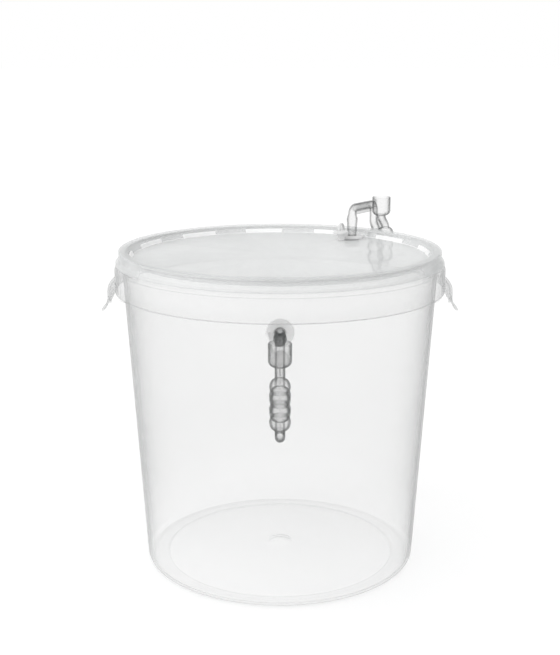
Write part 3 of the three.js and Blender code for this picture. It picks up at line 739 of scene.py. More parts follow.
def lid_outline(bucket, lid):
    """Half of the lid's section, and the radius and height of its panel's edge."""
    channel_inner = bucket.lip_radius - bucket.wall - lid.slack
    channel_outer = bucket.lip_radius + lid.slack
    channel_top = bucket.height + lid.seal + 2 * lid.seal_gap
    top = channel_top + lid.wall
    bottom = rim_foot(bucket) + lid.foot_gap
    panel_z = top - lid.recess
    recess = channel_inner - lid.rim_inset
    panel = recess - lid.recess_slope
    outer = channel_outer + lid.wall
    flare_z = bottom + lid.flare_height
    small = lid.wall / 4
    outline = softened([
        (0, panel_z - lid.wall, 0),
        (panel + lid.wall, panel_z - lid.wall, lid.wall),
        (channel_inner, channel_top, small),
        (channel_outer, channel_top, small),
        (channel_outer, flare_z, lid.wall),
        (channel_outer + lid.flare, bottom, small),
        (outer + lid.flare, bottom, small),
        (outer + lid.flare, bottom + lid.wall, small),
        (outer, flare_z + lid.wall / 2, lid.wall),
        (outer, top, lid.rim_round),
        (recess, top, lid.rim_round),
        (panel, panel_z, lid.wall / 2),
        (0, panel_z, 0),
    ])
    return outline, panel, panel_z


def lid_highlights_and_rim(lid, covers, panel, panel_z):
    """A rule for the lid's marked faces: its rim, and its lugs and the rounding at the panel's edge, which
    take a painted white highlight.
    """
    slope = lid.recess_slope / lid.recess

    def rule(r, z, sideways):
        rise = z - panel_z
        side = panel + rise * slope
        # Lugs and the panel's edge: marked for a painted white highlight
        on_lug = side - lid.lug_step - NEAR < r < side - lid.lug_step / 3
        if on_lug and INSET < rise < lid.lug_height + INSET:
            return covers.lug, 0.0
        if abs(r - panel) < lid.wall / 2 and 0 < rise < lid.wall / 2:
            return covers.panel_edge_highlight, 0.0
        return (covers.lid_rim if r > panel + lid.wall / 2 else 0.0), 0.0

    return rule


class FERMENTER_OT_lid(Operator):
    """Models the lid with its lugs, snap ribs and hole as one moulding, and the seal in its channel"""

    bl_idname = "fermenter.lid"
    bl_label = "Lid"

    def execute(self, context):
        settings = context.scene.fermenter
        bucket = settings.bucket
        lid = settings.lid
        outline, panel, panel_z = lid_outline(bucket, lid)
        piece = turned("lid_moulding", outline, ROUND_STEPS)
        turns = [2 * math.pi * i / lid.lug_count for i in range(1, lid.lug_count)]

        lean = lid.recess_slope * lid.lug_height / lid.recess
        foot = panel_z - lid.wall / 4
        top = panel_z + lid.lug_height
        small = lid.lug_step / 4
        lug = softened([
            (panel - lid.lug_step, foot, 0),
            (panel + lid.wall, foot, 0),
            (panel + lid.wall + lean, top, 0),
            (panel - lid.lug_step + lean, top, small),
        ], steps=3)
        lugs = turned("lugs", lug, LUG_STEPS, middle=lid.lug_first, half_turn=lid.lug_half_angle)
        combine(piece, copied_around(lugs, turns))

        inside = bucket.lip_radius + lid.slack
        snap_z = rim_foot(bucket) + lid.foot_gap + lid.flare_height + lid.wall
        snap = softened([
            (inside + lid.wall / 2, snap_z - 2 * lid.snap_reach, 0),
            (inside + lid.wall / 2, snap_z + 2 * lid.snap_reach, 0),
            (inside - lid.snap_reach, snap_z, lid.snap_reach / 2),
        ])
        snaps = turned("snaps", snap, LUG_STEPS, middle=lid.lug_first, half_turn=lid.snap_half_angle)
        combine(piece, copied_around(snaps, turns))
        combine(piece, hole_cutter(settings.grommets.hole_radius, lid.wall, LID_PORT), "DIFFERENCE")
        mark_painted_covers(piece, lid_highlights_and_rim(lid, settings.covers, panel, panel_z))
        dress(piece, lid_plastic(settings.finishes), "lid_plastic", "lid", "lid")

        low = bucket.height + lid.seal_gap
        high = low + lid.seal
        inner = bucket.lip_radius - bucket.wall - lid.slack + lid.seal_gap
        outer = bucket.lip_radius + lid.slack - lid.seal_gap
        corners = [(inner, low), (outer, low), (outer, high), (inner, high)]
        ring = softened([(r, z, lid.seal / 4) for r, z in corners])
        seal = turned("lid_seal_ring", ring, ROUND_STEPS)
        dress(seal, rubber("soft_seal_rubber", settings.finishes), "seal_rubber", "lid", "lid_seal")
        return {"FINISHED"}


# Grommets and plugs


def stem_radius(airlock, from_tip):
    return airlock.stem_tip + (airlock.stem_base - airlock.stem_tip) * from_tip / airlock.stem_length


def grommet_outline(grommet, airlock, panel):
    """Half of a grommet's section around its hole: the body behind the panel, the neck and the flange."""
    gap = grommet.neck_gap
    flange_top = gap + grommet.flange
    tip = flange_top - grommet.insert
    shelf = -panel - gap
    bottom = shelf - grommet.body_length
    body = grommet.hole_radius + grommet.bulge
    mouth_z = flange_top - grommet.flange / 2
    seat = stem_radius(airlock, grommet.insert)

    def bore(z):
        return stem_radius(airlock, z - tip) + gap

    edge = grommet.flange_round
    return softened([
        (bore(bottom), bottom, 0),
        (body, bottom, grommet.bulge / 2),
        (body, shelf, edge),
        (grommet.hole_radius - gap, shelf, 0),
        (grommet.hole_radius - gap, gap, 0),
        (grommet.flange_radius, gap, edge),
        (grommet.flange_radius, flange_top, edge),
        (seat + grommet.mouth, flange_top, edge / 2),
        (bore(mouth_z), mouth_z, edge / 2),
    ])


class FERMENTER_OT_grommets(Operator):
    """Models the soft grommets in the lid's hole and the wall's hole"""

    bl_idname = "fermenter.grommets"
    bl_label = "Grommets"

    def execute(self, context):
        settings = context.scene.fermenter
        finish = rubber("soft_grommet_rubber", settings.finishes)
        places = (("lid", settings.lid.wall, LID_PORT), ("wall", settings.bucket.wall, WALL_PORT))
        for name, panel, matrix in places:
            outline = grommet_outline(settings.grommets, settings.airlocks, panel)
            piece = placed(turned(name + "_grommet_bush", outline, BUSH_STEPS, ORIGIN), matrix)
            dress(piece, finish, "grommet_rubber", name + "_grommet", name + "_grommet")
        return {"FINISHED"}


def stopper_outline(plug):
    """Half of a plug's section: a round-ended pin under a cap."""
    under = plug.pin_lift + plug.pin_length
    top = under + plug.cap
    edge = plug.cap / 4
    return softened([
        (0, plug.pin_lift, 0),
        (plug.pin_radius, plug.pin_lift, 2 * edge),
        (plug.pin_radius, under, edge / 2),
        (plug.cap_radius, under, edge),
        (plug.cap_radius, top, edge),
        (plug.dimple_radius, top, edge / 2),
        (plug.dimple_floor, top - edge / 2, edge / 2),
        (0, top - edge / 2, 0),
    ])


def swept(name, stations, section=None, sides=TUBE_SIDES):
    """A closed tube through stations (along, up, radius) in its own XZ plane, round or of a flat section."""
    points = [Vector((x, 0, z)) for x, z, _ in stations]
    last = len(points) - 1
    headings = []
    for i in range(len(points)):
        run = points[min(i + 1, last)] - points[max(i - 1, 0)]
        headings.append(math.atan2(run.x, run.z))
    radius = stations[0][2]
    bpy.ops.object.select_all(action="DESELECT")
    bpy.ops.mesh.primitive_circle_add(
        vertices=sides, radius=radius, fill_type="NGON", location=points[0], rotation=(0, headings[0], 0)
    )
    piece = bpy.context.active_object
    piece.name = name
    if section:
        piece.scale = (section[0], section[1], 1)
    bpy.ops.object.transform_apply(location=True, rotation=True, scale=True)
    bpy.ops.object.mode_set(mode="EDIT")
    bpy.ops.mesh.select_all(action="SELECT")
    for i in range(1, len(points)):
        bpy.ops.mesh.extrude_region_move(TRANSFORM_OT_translate={"value": points[i] - points[i - 1]})
        turn = (headings[i] - headings[i - 1] + math.pi) % (2 * math.pi) - math.pi
        if abs(turn) > TINY:
            bpy.ops.transform.rotate(value=-turn, orient_axis="Y", center_override=points[i])
        growth = stations[i][2] / stations[i - 1][2]
        if abs(growth - 1) > TINY:
            bpy.ops.transform.resize(value=(growth, growth, growth), center_override=points[i])
    close_mesh()
    return piece


class FERMENTER_OT_plugs(Operator):
    """Models the plug beside each grommet, and the soft strap that arches to it from the flange"""

    bl_idname = "fermenter.plugs"
    bl_label = "Plugs"

    def execute(self, context):
        settings = context.scene.fermenter
        grommet = settings.grommets
        plug = settings.plugs
        finish = rubber("soft_grommet_rubber", settings.finishes)
        flange_top = grommet.neck_gap + grommet.flange
        reach = grommet.flange_radius + plug.gap + plug.cap_radius
        top = plug.pin_lift + plug.pin_length + plug.cap
        root = Vector((0, plug.strap_width / 2 - grommet.flange_radius, 0))
        end = Vector((reach - plug.pin_radius / 2, -plug.pin_radius, 0))
        span = (end - root).length
        heading = math.atan2(end.y - root.y, end.x - root.x)
        root_z = flange_top + plug.root_height
        path = geometry.interpolate_bezier(
            Vector((0, 0, root_z)),
            Vector((0, 0, root_z + plug.strap_rise)),
            Vector((span, 0, top + plug.strap_fall)),
            Vector((span, 0, top - plug.cap / 4)),
            STRAP_STEPS,
        )
        foot = [(0, flange_top + rise, width) for rise, width in STRAP_FOOT]
        stations = [*foot, *[(p.x, p.z, 1.0) for p in path]]
        flat = (plug.strap / 2, plug.strap_width / 2)
        for name, matrix in (("lid", LID_PORT @ Matrix.Rotation(math.pi, 4, "Z")), ("wall", WALL_PORT)):
            at_plug = matrix @ Matrix.Translation((reach, 0, 0))
            stopper = turned(name + "_plug_stopper", stopper_outline(plug), STOPPER_STEPS, ORIGIN)
            placed(stopper, at_plug)
            dress(stopper, finish, "grommet_rubber", name + "_plug", name + "_plug")
            at_root = matrix @ Matrix.Translation(root) @ Matrix.Rotation(heading, 4, "Z")
            strap = placed(swept(name + "_plug_strap", stations, flat, STRAP_SIDES), at_root)
            dress(strap, finish, "grommet_rubber", None)
            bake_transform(strap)
        return {"FINISHED"}


# Airlocks


def eased(start, end, radius, steps=8):
    """Stations of an easy S between two points, without its ends."""
    stations = []
    for i in range(1, steps):
        t = i / steps
        shift = (1 - math.cos(math.pi * t)) / 2
        stations.append((start[0] + (end[0] - start[0]) * shift, start[1] + (end[1] - start[1]) * t, radius))
    return stations


def bent(airlock, x, z, radius, start, end, steps=8):
    return [(u, w, airlock.tube) for u, w in arc((x, z), (radius, radius), start, end, steps)]


def bulb_column(airlock, x, top):
    """Stations of a column of bulbs from its top to its bottom."""
    first = top - airlock.shoulder
    last = first - airlock.bulb_pitch * (airlock.bulb_count - 1)
    shoulder = arc((airlock.tube, 0), (airlock.bulb - airlock.tube, airlock.shoulder), 90, 0)
    stations = [(x, first + z, r) for r, z in shoulder]
    for i in range(1, BULB_STEPS * (airlock.bulb_count - 1) + 1):
        t = i / BULB_STEPS
        swell = abs(math.cos(math.pi * t))
        stations.append((x, first - t * airlock.bulb_pitch, airlock.bulb - airlock.scallop * (1 - swell)))
    return stations + [(x, last - z, r) for r, z in reversed(shoulder[:-1])]


def column_places(airlock, x, z):
    """Places of the two columns, their top and their bottom, for a bend at (x, z)."""
    left = x + airlock.column_offset
    right = left + 2 * airlock.bulb + airlock.bulb_gap
    top = z - airlock.down_straight - airlock.down_shift
    bottom = top - 2 * airlock.shoulder - airlock.bulb_pitch * (airlock.bulb_count - 1)
    return left, right, top, bottom


def trap(airlock, x, z):
    """Stations from the down tube under the bend at (x, z), through both columns, to the cup's mouth."""
    left, right, top, bottom = column_places(airlock, x, z)
    down_end = (x, z - airlock.down_straight)
    cup = x + airlock.tube + airlock.cup_gap + airlock.cup
    mouth = z + airlock.cup_rise
    round_z = mouth - airlock.cup_depth
    neck = (cup, round_z - airlock.cup_round)
    middle = (left + right) / 2
    turn = bent(airlock, middle, bottom, (right - left) / 2, 180, 360, U_TURN_STEPS)
    bowl = arc((airlock.tube, round_z), (airlock.cup - airlock.tube, airlock.cup_round), -90, 0)
    return [
        (*down_end, airlock.tube),
        *eased(down_end, (left, top), airlock.tube),
        *bulb_column(airlock, left, top),
        *turn[1:-1],
        *reversed(bulb_column(airlock, right, top)),
        *eased((right, top), neck, airlock.tube),
        *[(cup, w, r) for r, w in bowl],
        (cup, mouth - airlock.cup_chamfer, airlock.cup),
        (cup, mouth, airlock.cup - airlock.cup_chamfer / 2),
    ]


def trap_web(airlock, x, z):
    """Outline of the web between the down tube, the cup and the columns."""
    left, right, top, bottom = column_places(airlock, x, z)
    cup = x + airlock.tube + airlock.cup_gap + airlock.cup
    cup_bottom = z + airlock.cup_rise - airlock.cup_depth
    low = bottom - (right - left) / 2
    edge = left - airlock.bulb - airlock.web / 8
    return [
        (x, z + airlock.tube),
        (x, z - airlock.down_straight),
        (edge, z - airlock.down_straight),
        (edge, bottom + airlock.shoulder),
        (left, bottom + airlock.shoulder),
        (left, low),
        (right, low),
        (right, cup_bottom),
        (cup, cup_bottom),
        (cup, z + airlock.tube),
    ]


def airlock_piece(name, airlock, stations, outlines):
    """A clear airlock: a hollow tube through the stations, with its web."""
    piece = swept(name, stations)
    for outline in outlines:
        combine(piece, plate("web", outline, airlock.web))
    thinner = [(x, z, r - airlock.wall) for x, z, r in stations]
    first, second = thinner[0], thinner[1]
    run = Vector((second[0] - first[0], second[1] - first[1])).normalized() * airlock.wall
    start = (first[0] - run.x, first[1] - run.y, first[2])
    end = (thinner[-1][0], thinner[-1][1] + airlock.wall, thinner[-1][2])
    return combine(piece, swept("bore", [start, *thinner, end]), "DIFFERENCE")


class FERMENTER_OT_airlocks(Operator):
    """Models the clear airlocks: the bent one in the lid and the straight one in the wall"""

    bl_idname = "fermenter.airlocks"
    bl_label = "Airlocks"

    def execute(self, context):
        settings = context.scene.fermenter
        airlock = settings.airlocks
        grommet = settings.grommets
        finish = clear_plastic(settings.finishes)
        tip = Matrix.Translation((0, 0, grommet.neck_gap + grommet.flange - grommet.insert))
        bend = airlock.bend

        corner = airlock.arm_length
        level = airlock.stem_length + airlock.bent_neck + bend
        stations = [
            (0, 0, airlock.stem_tip),
            (0, airlock.stem_length, airlock.stem_base),
            *bent(airlock, bend, level - bend, bend, 180, 90),
            *bent(airlock, corner - bend, level - bend, bend, 90, 0),
            *trap(airlock, corner, level),
        ]
        low = level - airlock.tube - airlock.web_strip
        inside = corner - airlock.tube / 2
        strip = [(bend, low), (inside, low), (inside, level), (bend, level)]
        webs = [strip, trap_web(airlock, corner, level)]
        piece = placed(airlock_piece("lid_airlock_bent", airlock, stations, webs), LID_PORT @ tip)
        halves = ("lid_airlock_right_half", "lid_airlock_left_half")
        dress(piece, finish, "airlock_clear", "lid_airlock", *halves)

        corner = airlock.stem_length + airlock.straight_neck + bend
        stations = [
            (0, 0, airlock.stem_tip),
            (airlock.stem_length, 0, airlock.stem_base),
            *bent(airlock, corner - bend, -bend, bend, 90, 0),
            *trap(airlock, corner, 0),
        ]
        webs = [trap_web(airlock, corner, 0)]
        lying = WALL_PORT @ tip @ Matrix.Rotation(-math.pi / 2, 4, "Y")
        piece = placed(airlock_piece("wall_airlock_straight", airlock, stations, webs), lying)
        halves = ("wall_airlock_left_half", "wall_airlock_right_half")
        dress(piece, finish, "airlock_clear", "wall_airlock", *halves)
        return {"FINISHED"}


# Finishes

# Scale of the fine grain against the clouds of roughness, and the depth of its bump
GRAIN_RATIO = 14.0
GRAIN_DEPTH = 0.0002

# Shares of the bucket's height: the ends of the painted glow at the foot and of the foot's thinner veil, and
# the rise of the painted light on the rim
GLOW_TOP = 0.35
VEIL_TOP = 0.2
RIM_LIGHT_LOW = 0.86
RIM_LIGHT_HIGH = 0.92

# Least cover and slant at which the bucket loses its painted glow and rim light
PLAIN_COVER = 0.25
PLAIN_SLANT = 0.5

# Least covers between which the lid gains its painted white highlight
HIGHLIGHT_LOW = 0.3
HIGHLIGHT_HIGH = 0.6


def grey(value):
    return (value, value, value, 1)


def add_node(tree, kind, at, inputs=None, **settings):
    node = tree.nodes.new(kind)
    node.location = at
    for key, value in settings.items():
        setattr(node, key, value)
    for key, value in (inputs or {}).items():
        node.inputs[key].default_value = value
    return node


def new_group(name, inputs, outputs):
    """An empty shader node group with named sockets, and its input and output nodes."""
    tree = bpy.data.node_groups.new(name, "ShaderNodeTree")
    for socket, kind in inputs:
        tree.interface.new_socket(socket, in_out="INPUT", socket_type=kind)
    for socket, kind in outputs:
        tree.interface.new_socket(socket, in_out="OUTPUT", socket_type=kind)
    return tree, add_node(tree, "NodeGroupInput", (-700, 0)), add_node(tree, "NodeGroupOutput", (500, 0))


def moulded_grain():
    """The fine grain of a moulded surface: its roughness, and a height for the bump."""
    if "Moulded grain" in bpy.data.node_groups:
        return bpy.data.node_groups["Moulded grain"]
    tree, given, result = new_group(
        "Moulded grain",
        [
            ("Vector", "NodeSocketVector"),
            ("Scale", "NodeSocketFloat"),
            ("Smooth", "NodeSocketFloat"),
            ("Rough", "NodeSocketFloat"),
        ],
        [("Roughness", "NodeSocketFloat"), ("Height", "NodeSocketFloat")],
    )
    cloud = add_node(tree, "ShaderNodeTexNoise", (-450, 150), {"Detail": 4.0, "Roughness": 0.6})
    spread = add_node(tree, "ShaderNodeMapRange", (-150, 150), {"From Min": 0.3, "From Max": 0.7})
    finer = add_node(tree, "ShaderNodeMath", (-500, -150), {1: GRAIN_RATIO}, operation="MULTIPLY")
    grain = add_node(tree, "ShaderNodeTexNoise", (-300, -150), {"Detail": 2.0, "Roughness": 0.5})
    links = tree.links
    links.new(given.outputs["Vector"], cloud.inputs["Vector"])
    links.new(given.outputs["Scale"], cloud.inputs["Scale"])
    links.new(cloud.outputs["Fac"], spread.inputs["Value"])
    links.new(given.outputs["Smooth"], spread.inputs["To Min"])
    links.new(given.outputs["Rough"], spread.inputs["To Max"])
    links.new(spread.outputs["Result"], result.inputs["Roughness"])
    links.new(given.outputs["Scale"], finer.inputs[0])
    links.new(given.outputs["Vector"], grain.inputs["Vector"])
    links.new(finer.outputs["Value"], grain.inputs["Scale"])
    links.new(grain.outputs["Fac"], result.inputs["Height"])
    return tree


def moulded_tone():
    """The slow change of tone in a moulding, between a pale and a deep colour."""
    if "Moulded tone" in bpy.data.node_groups:
        return bpy.data.node_groups["Moulded tone"]
    tree, given, result = new_group(
        "Moulded tone",
        [
            ("Vector", "NodeSocketVector"),
            ("Scale", "NodeSocketFloat"),
            ("Pale", "NodeSocketColor"),
            ("Deep", "NodeSocketColor"),
        ],
        [("Colour", "NodeSocketColor")],
    )
    cloud = add_node(tree, "ShaderNodeTexNoise", (-450, 0), {"Detail": 3.0, "Roughness": 0.55})
    spread = add_node(tree, "ShaderNodeMapRange", (-200, 0), {"From Min": 0.3, "From Max": 0.7})
    mix = add_node(tree, "ShaderNodeMix", (150, 0), data_type="RGBA")
    links = tree.links
    links.new(given.outputs["Vector"], cloud.inputs["Vector"])
    links.new(given.outputs["Scale"], cloud.inputs["Scale"])
    links.new(cloud.outputs["Fac"], spread.inputs["Value"])
    links.new(spread.outputs["Result"], mix.inputs["Factor"])
    links.new(given.outputs["Pale"], mix.inputs["A"])
    links.new(given.outputs["Deep"], mix.inputs["B"])
    links.new(mix.outputs["Result"], result.inputs["Colour"])
    return tree


def moulded(name, tones, tone_scale, grain_scale, roughness, bump, specular):
    """A moulded material: its tone, roughness and bump come from the shared groups."""
    material = bpy.data.materials.new(name)
    material.use_nodes = True
    tree = material.node_tree
    shader = tree.nodes["Principled BSDF"]
    shader.inputs["Specular IOR Level"].default_value = specular
    place = add_node(tree, "ShaderNodeTexCoord", (-900, 0))
    tone = add_node(tree, "ShaderNodeGroup", (-600, 200), node_tree=moulded_tone())
    tone.inputs["Scale"].default_value = tone_scale
    tone.inputs["Pale"].default_value = tones[0]
    tone.inputs["Deep"].default_value = tones[1]
    grain = add_node(tree, "ShaderNodeGroup", (-600, -100), node_tree=moulded_grain())
    grain.inputs["Scale"].default_value = grain_scale
    grain.inputs["Smooth"].default_value = roughness[0]
    grain.inputs["Rough"].default_value = roughness[1]
    relief = add_node(tree, "ShaderNodeBump", (-300, -250), {"Strength": bump, "Distance": GRAIN_DEPTH})
    links = tree.links
    links.new(place.outputs["Object"], tone.inputs["Vector"])
    links.new(place.outputs["Object"], grain.inputs["Vector"])
    links.new(tone.outputs["Colour"], shader.inputs["Base Color"])
    links.new(grain.outputs["Roughness"], shader.inputs["Roughness"])
    links.new(grain.outputs["Height"], relief.inputs["Height"])
    links.new(relief.outputs["Normal"], shader.inputs["Normal"])
    return material


def see_through(material, veil, edge, falloff, depth, shade):
    """Lets light through a material: a thin veil seen straight on, more cover along it, and a tint inside."""
    tree = material.node_tree
    facing = add_node(tree, "ShaderNodeLayerWeight", (-700, -500), {"Blend": 0.5})
    curve = add_node(tree, "ShaderNodeMath", (-500, -500), {1: falloff}, operation="POWER")
    cover = add_node(tree, "ShaderNodeMapRange", (-300, -500), {"To Min": veil, "To Max": edge}, name="Cover")
    # The least cover of marked faces paints dark lines on the bucket and white highlights on the lid
    least = add_node(
        tree, "ShaderNodeAttribute", (-300, -750), attribute_name="painted_mark_cover", name="Least cover"
    )
    loss = add_node(tree, "ShaderNodeAttribute", (-900, -750), attribute_name="slant_loss")
    kept = add_node(tree, "ShaderNodeMath", (-700, -750), {0: 1.0}, operation="SUBTRACT")
    slant = add_node(tree, "ShaderNodeMath", (-450, -650), operation="MULTIPLY", name="Slant")
    most = add_node(tree, "ShaderNodeMath", (-100, -500), operation="MAXIMUM")
    path = add_node(tree, "ShaderNodeLightPath", (-300, -950))
    glow = add_node(tree, "ShaderNodeMapRange", (-100, -800), {"To Min": 1.0, "To Max": shade})
    alpha = add_node(tree, "ShaderNodeMath", (100, -600), operation="MULTIPLY")
    tint = add_node(tree, "ShaderNodeVolumeAbsorption", (100, -300), {"Density": 2 * depth})
    tint.inputs["Color"].default_value = grey(0.5)
    tree.links.new(facing.outputs["Facing"], curve.inputs[0])
    tree.links.new(loss.outputs["Fac"], kept.inputs[1])
    tree.links.new(curve.outputs["Value"], slant.inputs[0])
    tree.links.new(kept.outputs["Value"], slant.inputs[1])
    tree.links.new(slant.outputs["Value"], cover.inputs["Value"])
    tree.links.new(cover.outputs["Result"], most.inputs[0])
    tree.links.new(least.outputs["Fac"], most.inputs[1])
    tree.links.new(path.outputs["Is Shadow Ray"], glow.inputs["Value"])
    tree.links.new(most.outputs["Value"], alpha.inputs[0])
    tree.links.new(glow.outputs["Result"], alpha.inputs[1])
    tree.links.new(alpha.outputs["Value"], tree.nodes["Principled BSDF"].inputs["Alpha"])
    tree.links.new(tint.outputs["Volume"], tree.nodes["Material Output"].inputs["Volume"])
    return material


def painted_whitening(material, factor, milky):
    """Mixes a white tone into a material by a factor, as painted light: a glow, a rim light or a highlight.
    """
    tree = material.node_tree
    shader = tree.nodes["Principled BSDF"]
    paler = add_node(tree, "ShaderNodeMix", (-250, 300), data_type="RGBA")
    paler.inputs["B"].default_value = milky
    tree.links.new(factor, paler.inputs["Factor"])
    tree.links.new(shader.inputs["Base Color"].links[0].from_socket, paler.inputs["A"])
    tree.links.new(paler.outputs["Result"], shader.inputs["Base Color"])
    return material


def bucket_plastic(finishes, height):
    tones = (finishes.bucket_pale, finishes.bucket_deep)
    material = moulded(
        "milky_bucket_plastic",
        tones,
        tone_scale=9.0,
        grain_scale=90.0,
        roughness=(0.34, 0.46),
        bump=0.08,
        specular=0.05,
    )
    see_through(
        material,
        finishes.bucket_veil,
        finishes.bucket_edge,
        finishes.bucket_falloff,
        finishes.bucket_depth,
        finishes.shade,
    )
    tree = material.node_tree
    place = add_node(tree, "ShaderNodeTexCoord", (-1300, -300))
    axes = add_node(tree, "ShaderNodeSeparateXYZ", (-1100, -300))
    rise = add_node(tree, "ShaderNodeMapRange", (-900, -300), {"From Max": height})
    # Painted glow and light by height: the foot is whitened as a painted glow and the rim as painted light,
    # except on marked and slanted faces
    milky = add_node(tree, "ShaderNodeValToRGB", (-700, 500))
    stops = milky.color_ramp.elements
    stops[0].position = 0.0
    stops[0].color = grey(finishes.bucket_foot_painted_glow)
    stops[1].position = RIM_LIGHT_HIGH
    stops[1].color = grey(finishes.bucket_rim_painted_light)
    stops.new(GLOW_TOP).color = grey(0.0)
    stops.new(RIM_LIGHT_LOW).color = grey(0.0)
    falling = {"To Min": 1.0, "To Max": 0.0}
    sparse = add_node(tree, "ShaderNodeMapRange", (-700, 800), {"From Max": PLAIN_COVER, **falling})
    level = add_node(tree, "ShaderNodeMapRange", (-700, 1100), {"From Max": PLAIN_SLANT, **falling})
    plain = add_node(tree, "ShaderNodeMath", (-500, 900), operation="MULTIPLY")
    white = add_node(tree, "ShaderNodeMath", (-400, 600), operation="MULTIPLY")
    # The veil thins towards the foot so that the white floor shows, for the painted glow
    fade = add_node(tree, "ShaderNodeMapRange", (-600, -650), {"From Max": VEIL_TOP})
    fade.inputs["To Min"].default_value = finishes.bucket_foot_glow_veil
    fade.inputs["To Max"].default_value = finishes.bucket_veil
    links = tree.links
    links.new(place.outputs["Object"], axes.inputs["Vector"])
    links.new(axes.outputs["Z"], rise.inputs["Value"])
    links.new(rise.outputs["Result"], milky.inputs["Fac"])
    links.new(rise.outputs["Result"], fade.inputs["Value"])
    links.new(tree.nodes["Least cover"].outputs["Fac"], sparse.inputs["Value"])
    links.new(tree.nodes["Slant"].outputs["Value"], level.inputs["Value"])
    links.new(sparse.outputs["Result"], plain.inputs[0])
    links.new(level.outputs["Result"], plain.inputs[1])
    links.new(milky.outputs["Color"], white.inputs[0])
    links.new(plain.outputs["Value"], white.inputs[1])
    links.new(fade.outputs["Result"], tree.nodes["Cover"].inputs["To Min"])
    return painted_whitening(material, white.outputs["Value"], finishes.bucket_painted_light_tone)


def lid_plastic(finishes):
    tones = (finishes.lid_pale, finishes.lid_deep)
    material = moulded(
        "milky_lid_plastic",
        tones,
        tone_scale=12.0,
        grain_scale=90.0,
        roughness=(0.34, 0.46),
        bump=0.08,
        specular=0.05,
    )
    see_through(
        material,
        finishes.lid_veil,
        finishes.lid_edge,
        finishes.lid_falloff,
        finishes.lid_depth,
        finishes.shade,
    )
    tree = material.node_tree
    # Painted highlight: faces with a high least cover, the lugs and the panel's edge, are whitened
    gained = {"From Min": HIGHLIGHT_LOW, "From Max": HIGHLIGHT_HIGH}
    white = add_node(tree, "ShaderNodeMapRange", (-500, 600), gained)
    tree.links.new(tree.nodes["Least cover"].outputs["Fac"], white.inputs["Value"])
    return painted_whitening(material, white.outputs["Result"], finishes.lid_painted_highlight)


def rubber(name, finishes):
    if name in bpy.data.materials:
        return bpy.data.materials[name]
    tones = (finishes.rubber_pale, finishes.rubber_deep)
    return moulded(
        name, tones, tone_scale=60.0, grain_scale=260.0, roughness=(0.55, 0.72), bump=0.2, specular=0.3
    )


def clear_plastic(finishes):
    # The near-black tones paint the dark refraction along the airlocks' outlines
    tones = (finishes.clear_painted_dark_pale, finishes.clear_painted_dark_deep)
    material = moulded(
        "clear_airlock_plastic",
        tones,
        tone_scale=40.0,
        grain_scale=120.0,
        roughness=(0.05, 0.12),
        bump=0.02,
        specular=0.05,
    )
    return see_through(
        material,
        finishes.clear_veil,
        finishes.clear_edge,
        finishes.clear_falloff,
        finishes.clear_depth,
        finishes.shade,
    )


# Stage

# Gap between the floor and the bucket's foot
FLOOR_GAP = 0.0002

LAMP_PLACE = (-2, -2, 4)
SENSOR_WIDTH = 36.0

# See-through faces that a ray may pass, one behind the other
CLEAR_LAYERS = 48


def white_for_camera(tree, at):
    """A mask of the rays that see the background: straight, in reflections and through glass."""
    path = add_node(tree, "ShaderNodeLightPath", at)
    first = add_node(tree, "ShaderNodeMath", (at[0] + 200, at[1]), operation="MAXIMUM")
    second = add_node(tree, "ShaderNodeMath", (at[0] + 400, at[1]), operation="MAXIMUM")
    tree.links.new(path.outputs["Is Camera Ray"], first.inputs[0])
    tree.links.new(path.outputs["Is Glossy Ray"], first.inputs[1])
    tree.links.new(first.outputs["Value"], second.inputs[0])
    tree.links.new(path.outputs["Is Transmission Ray"], second.inputs[1])
    return second.outputs["Value"]


def white_world(stage):
    world = bpy.data.worlds.new("white_studio")
    world.use_nodes = True
    tree = world.node_tree
    tree.nodes.clear()
    light = add_node(tree, "ShaderNodeBackground", (0, 150), {"Strength": stage.ambient})
    light.inputs["Color"].default_value = (1, 1, 1, 1)
    white = add_node(tree, "ShaderNodeBackground", (0, 0), {"Strength": 1.0})
    white.inputs["Color"].default_value = (1, 1, 1, 1)
    mix = add_node(tree, "ShaderNodeMixShader", (250, 100))
    result = add_node(tree, "ShaderNodeOutputWorld", (450, 100))
    tree.links.new(white_for_camera(tree, (-700, 300)), mix.inputs["Fac"])
    tree.links.new(light.outputs["Background"], mix.inputs[1])
    tree.links.new(white.outputs["Background"], mix.inputs[2])
    tree.links.new(mix.outputs["Shader"], result.inputs["Surface"])
    return world


def floor_finish(stage):
    material = bpy.data.materials.new("studio_floor")
    material.use_nodes = True
    tree = material.node_tree
    shader = tree.nodes["Principled BSDF"]
    shader.inputs["Base Color"].default_value = stage.floor_tone
    shader.inputs["Roughness"].default_value = 0.9
    shader.inputs["Specular IOR Level"].default_value = 0.0
    shader.inputs["Emission Color"].default_value = (1, 1, 1, 1)
    lift = add_node(tree, "ShaderNodeMath", (-200, -300), {1: stage.floor_lift}, operation="MULTIPLY")
    tree.links.new(white_for_camera(tree, (-900, -300)), lift.inputs[0])
    tree.links.new(lift.outputs["Value"], shader.inputs["Emission Strength"])
    return material


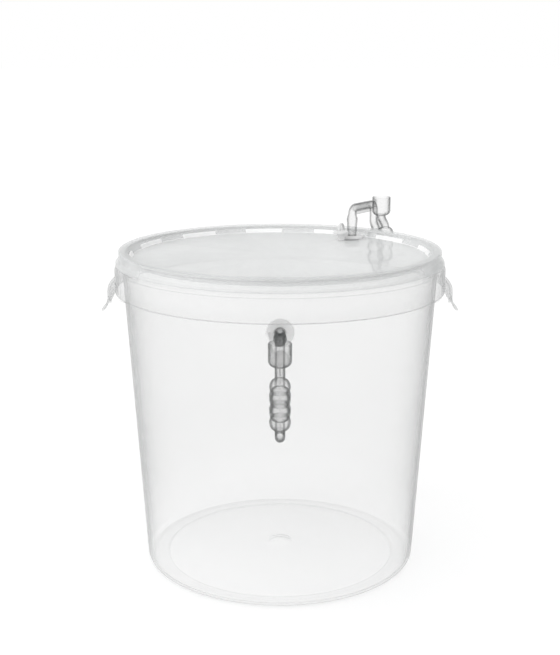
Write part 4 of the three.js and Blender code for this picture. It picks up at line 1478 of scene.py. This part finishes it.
class FERMENTER_OT_stage(Operator):
    """Sets up the floor, the soft light and the camera"""

    bl_idname = "fermenter.stage"
    bl_label = "Stage"

    def execute(self, context):
        stage = context.scene.fermenter.stage
        scene = context.scene
        scene.view_settings.view_transform = "Standard"
        scene.cycles.transparent_max_bounces = CLEAR_LAYERS
        scene.world = white_world(stage)

        bpy.ops.object.select_all(action="DESELECT")
        bpy.ops.mesh.primitive_plane_add(size=stage.floor_size, location=(0, 0, -FLOOR_GAP))
        floor = context.active_object
        floor.name = "studio_floor"
        floor.data.materials.append(floor_finish(stage))

        bpy.ops.object.light_add(
            type="SUN", location=LAMP_PLACE, rotation=(stage.sun_tilt, stage.sun_lean, 0)
        )
        sun = context.active_object
        sun.name = "soft_lamp"
        sun.data.energy = stage.sun
        sun.data.angle = stage.sun_size

        bpy.ops.object.camera_add(
            location=(0, AXIS.y - stage.distance, stage.height), rotation=(stage.tilt, 0, 0)
        )
        camera = context.active_object
        camera.name = "picture_camera"
        camera.data.sensor_fit = "HORIZONTAL"
        camera.data.sensor_width = SENSOR_WIDTH
        camera.data.lens = stage.lens
        scene.camera = camera
        return {"FINISHED"}


class FERMENTER_PT_panel(Panel):
    """Lists the pieces of the fermentation bucket"""

    bl_idname = "FERMENTER_PT_panel"
    bl_label = "Fermentation bucket"
    bl_space_type = "VIEW_3D"
    bl_region_type = "UI"
    bl_category = "Fermenter"

    def draw(self, context):
        for operator in OPERATORS:
            self.layout.operator(operator.bl_idname)


OPERATORS = (
    FERMENTER_OT_stage,
    FERMENTER_OT_bucket,
    FERMENTER_OT_lid,
    FERMENTER_OT_grommets,
    FERMENTER_OT_plugs,
    FERMENTER_OT_airlocks,
)
CLASSES = (
    BucketSizes,
    GripSizes,
    LidSizes,
    GrommetSizes,
    PlugSizes,
    AirlockSizes,
    Finishes,
    PaintedCovers,
    StageSettings,
    FermenterSettings,
    *OPERATORS,
    FERMENTER_PT_panel,
)


def register():
    for cls in CLASSES:
        bpy.utils.register_class(cls)
    bpy.types.Scene.fermenter = PointerProperty(type=FermenterSettings)


def unregister():
    del bpy.types.Scene.fermenter
    for cls in reversed(CLASSES):
        bpy.utils.unregister_class(cls)


def main():
    register()
    bpy.ops.fermenter.stage()
    bpy.ops.fermenter.bucket()
    bpy.ops.fermenter.lid()
    bpy.ops.fermenter.grommets()
    bpy.ops.fermenter.plugs()
    bpy.ops.fermenter.airlocks()


if __name__ == "__main__":
    main()
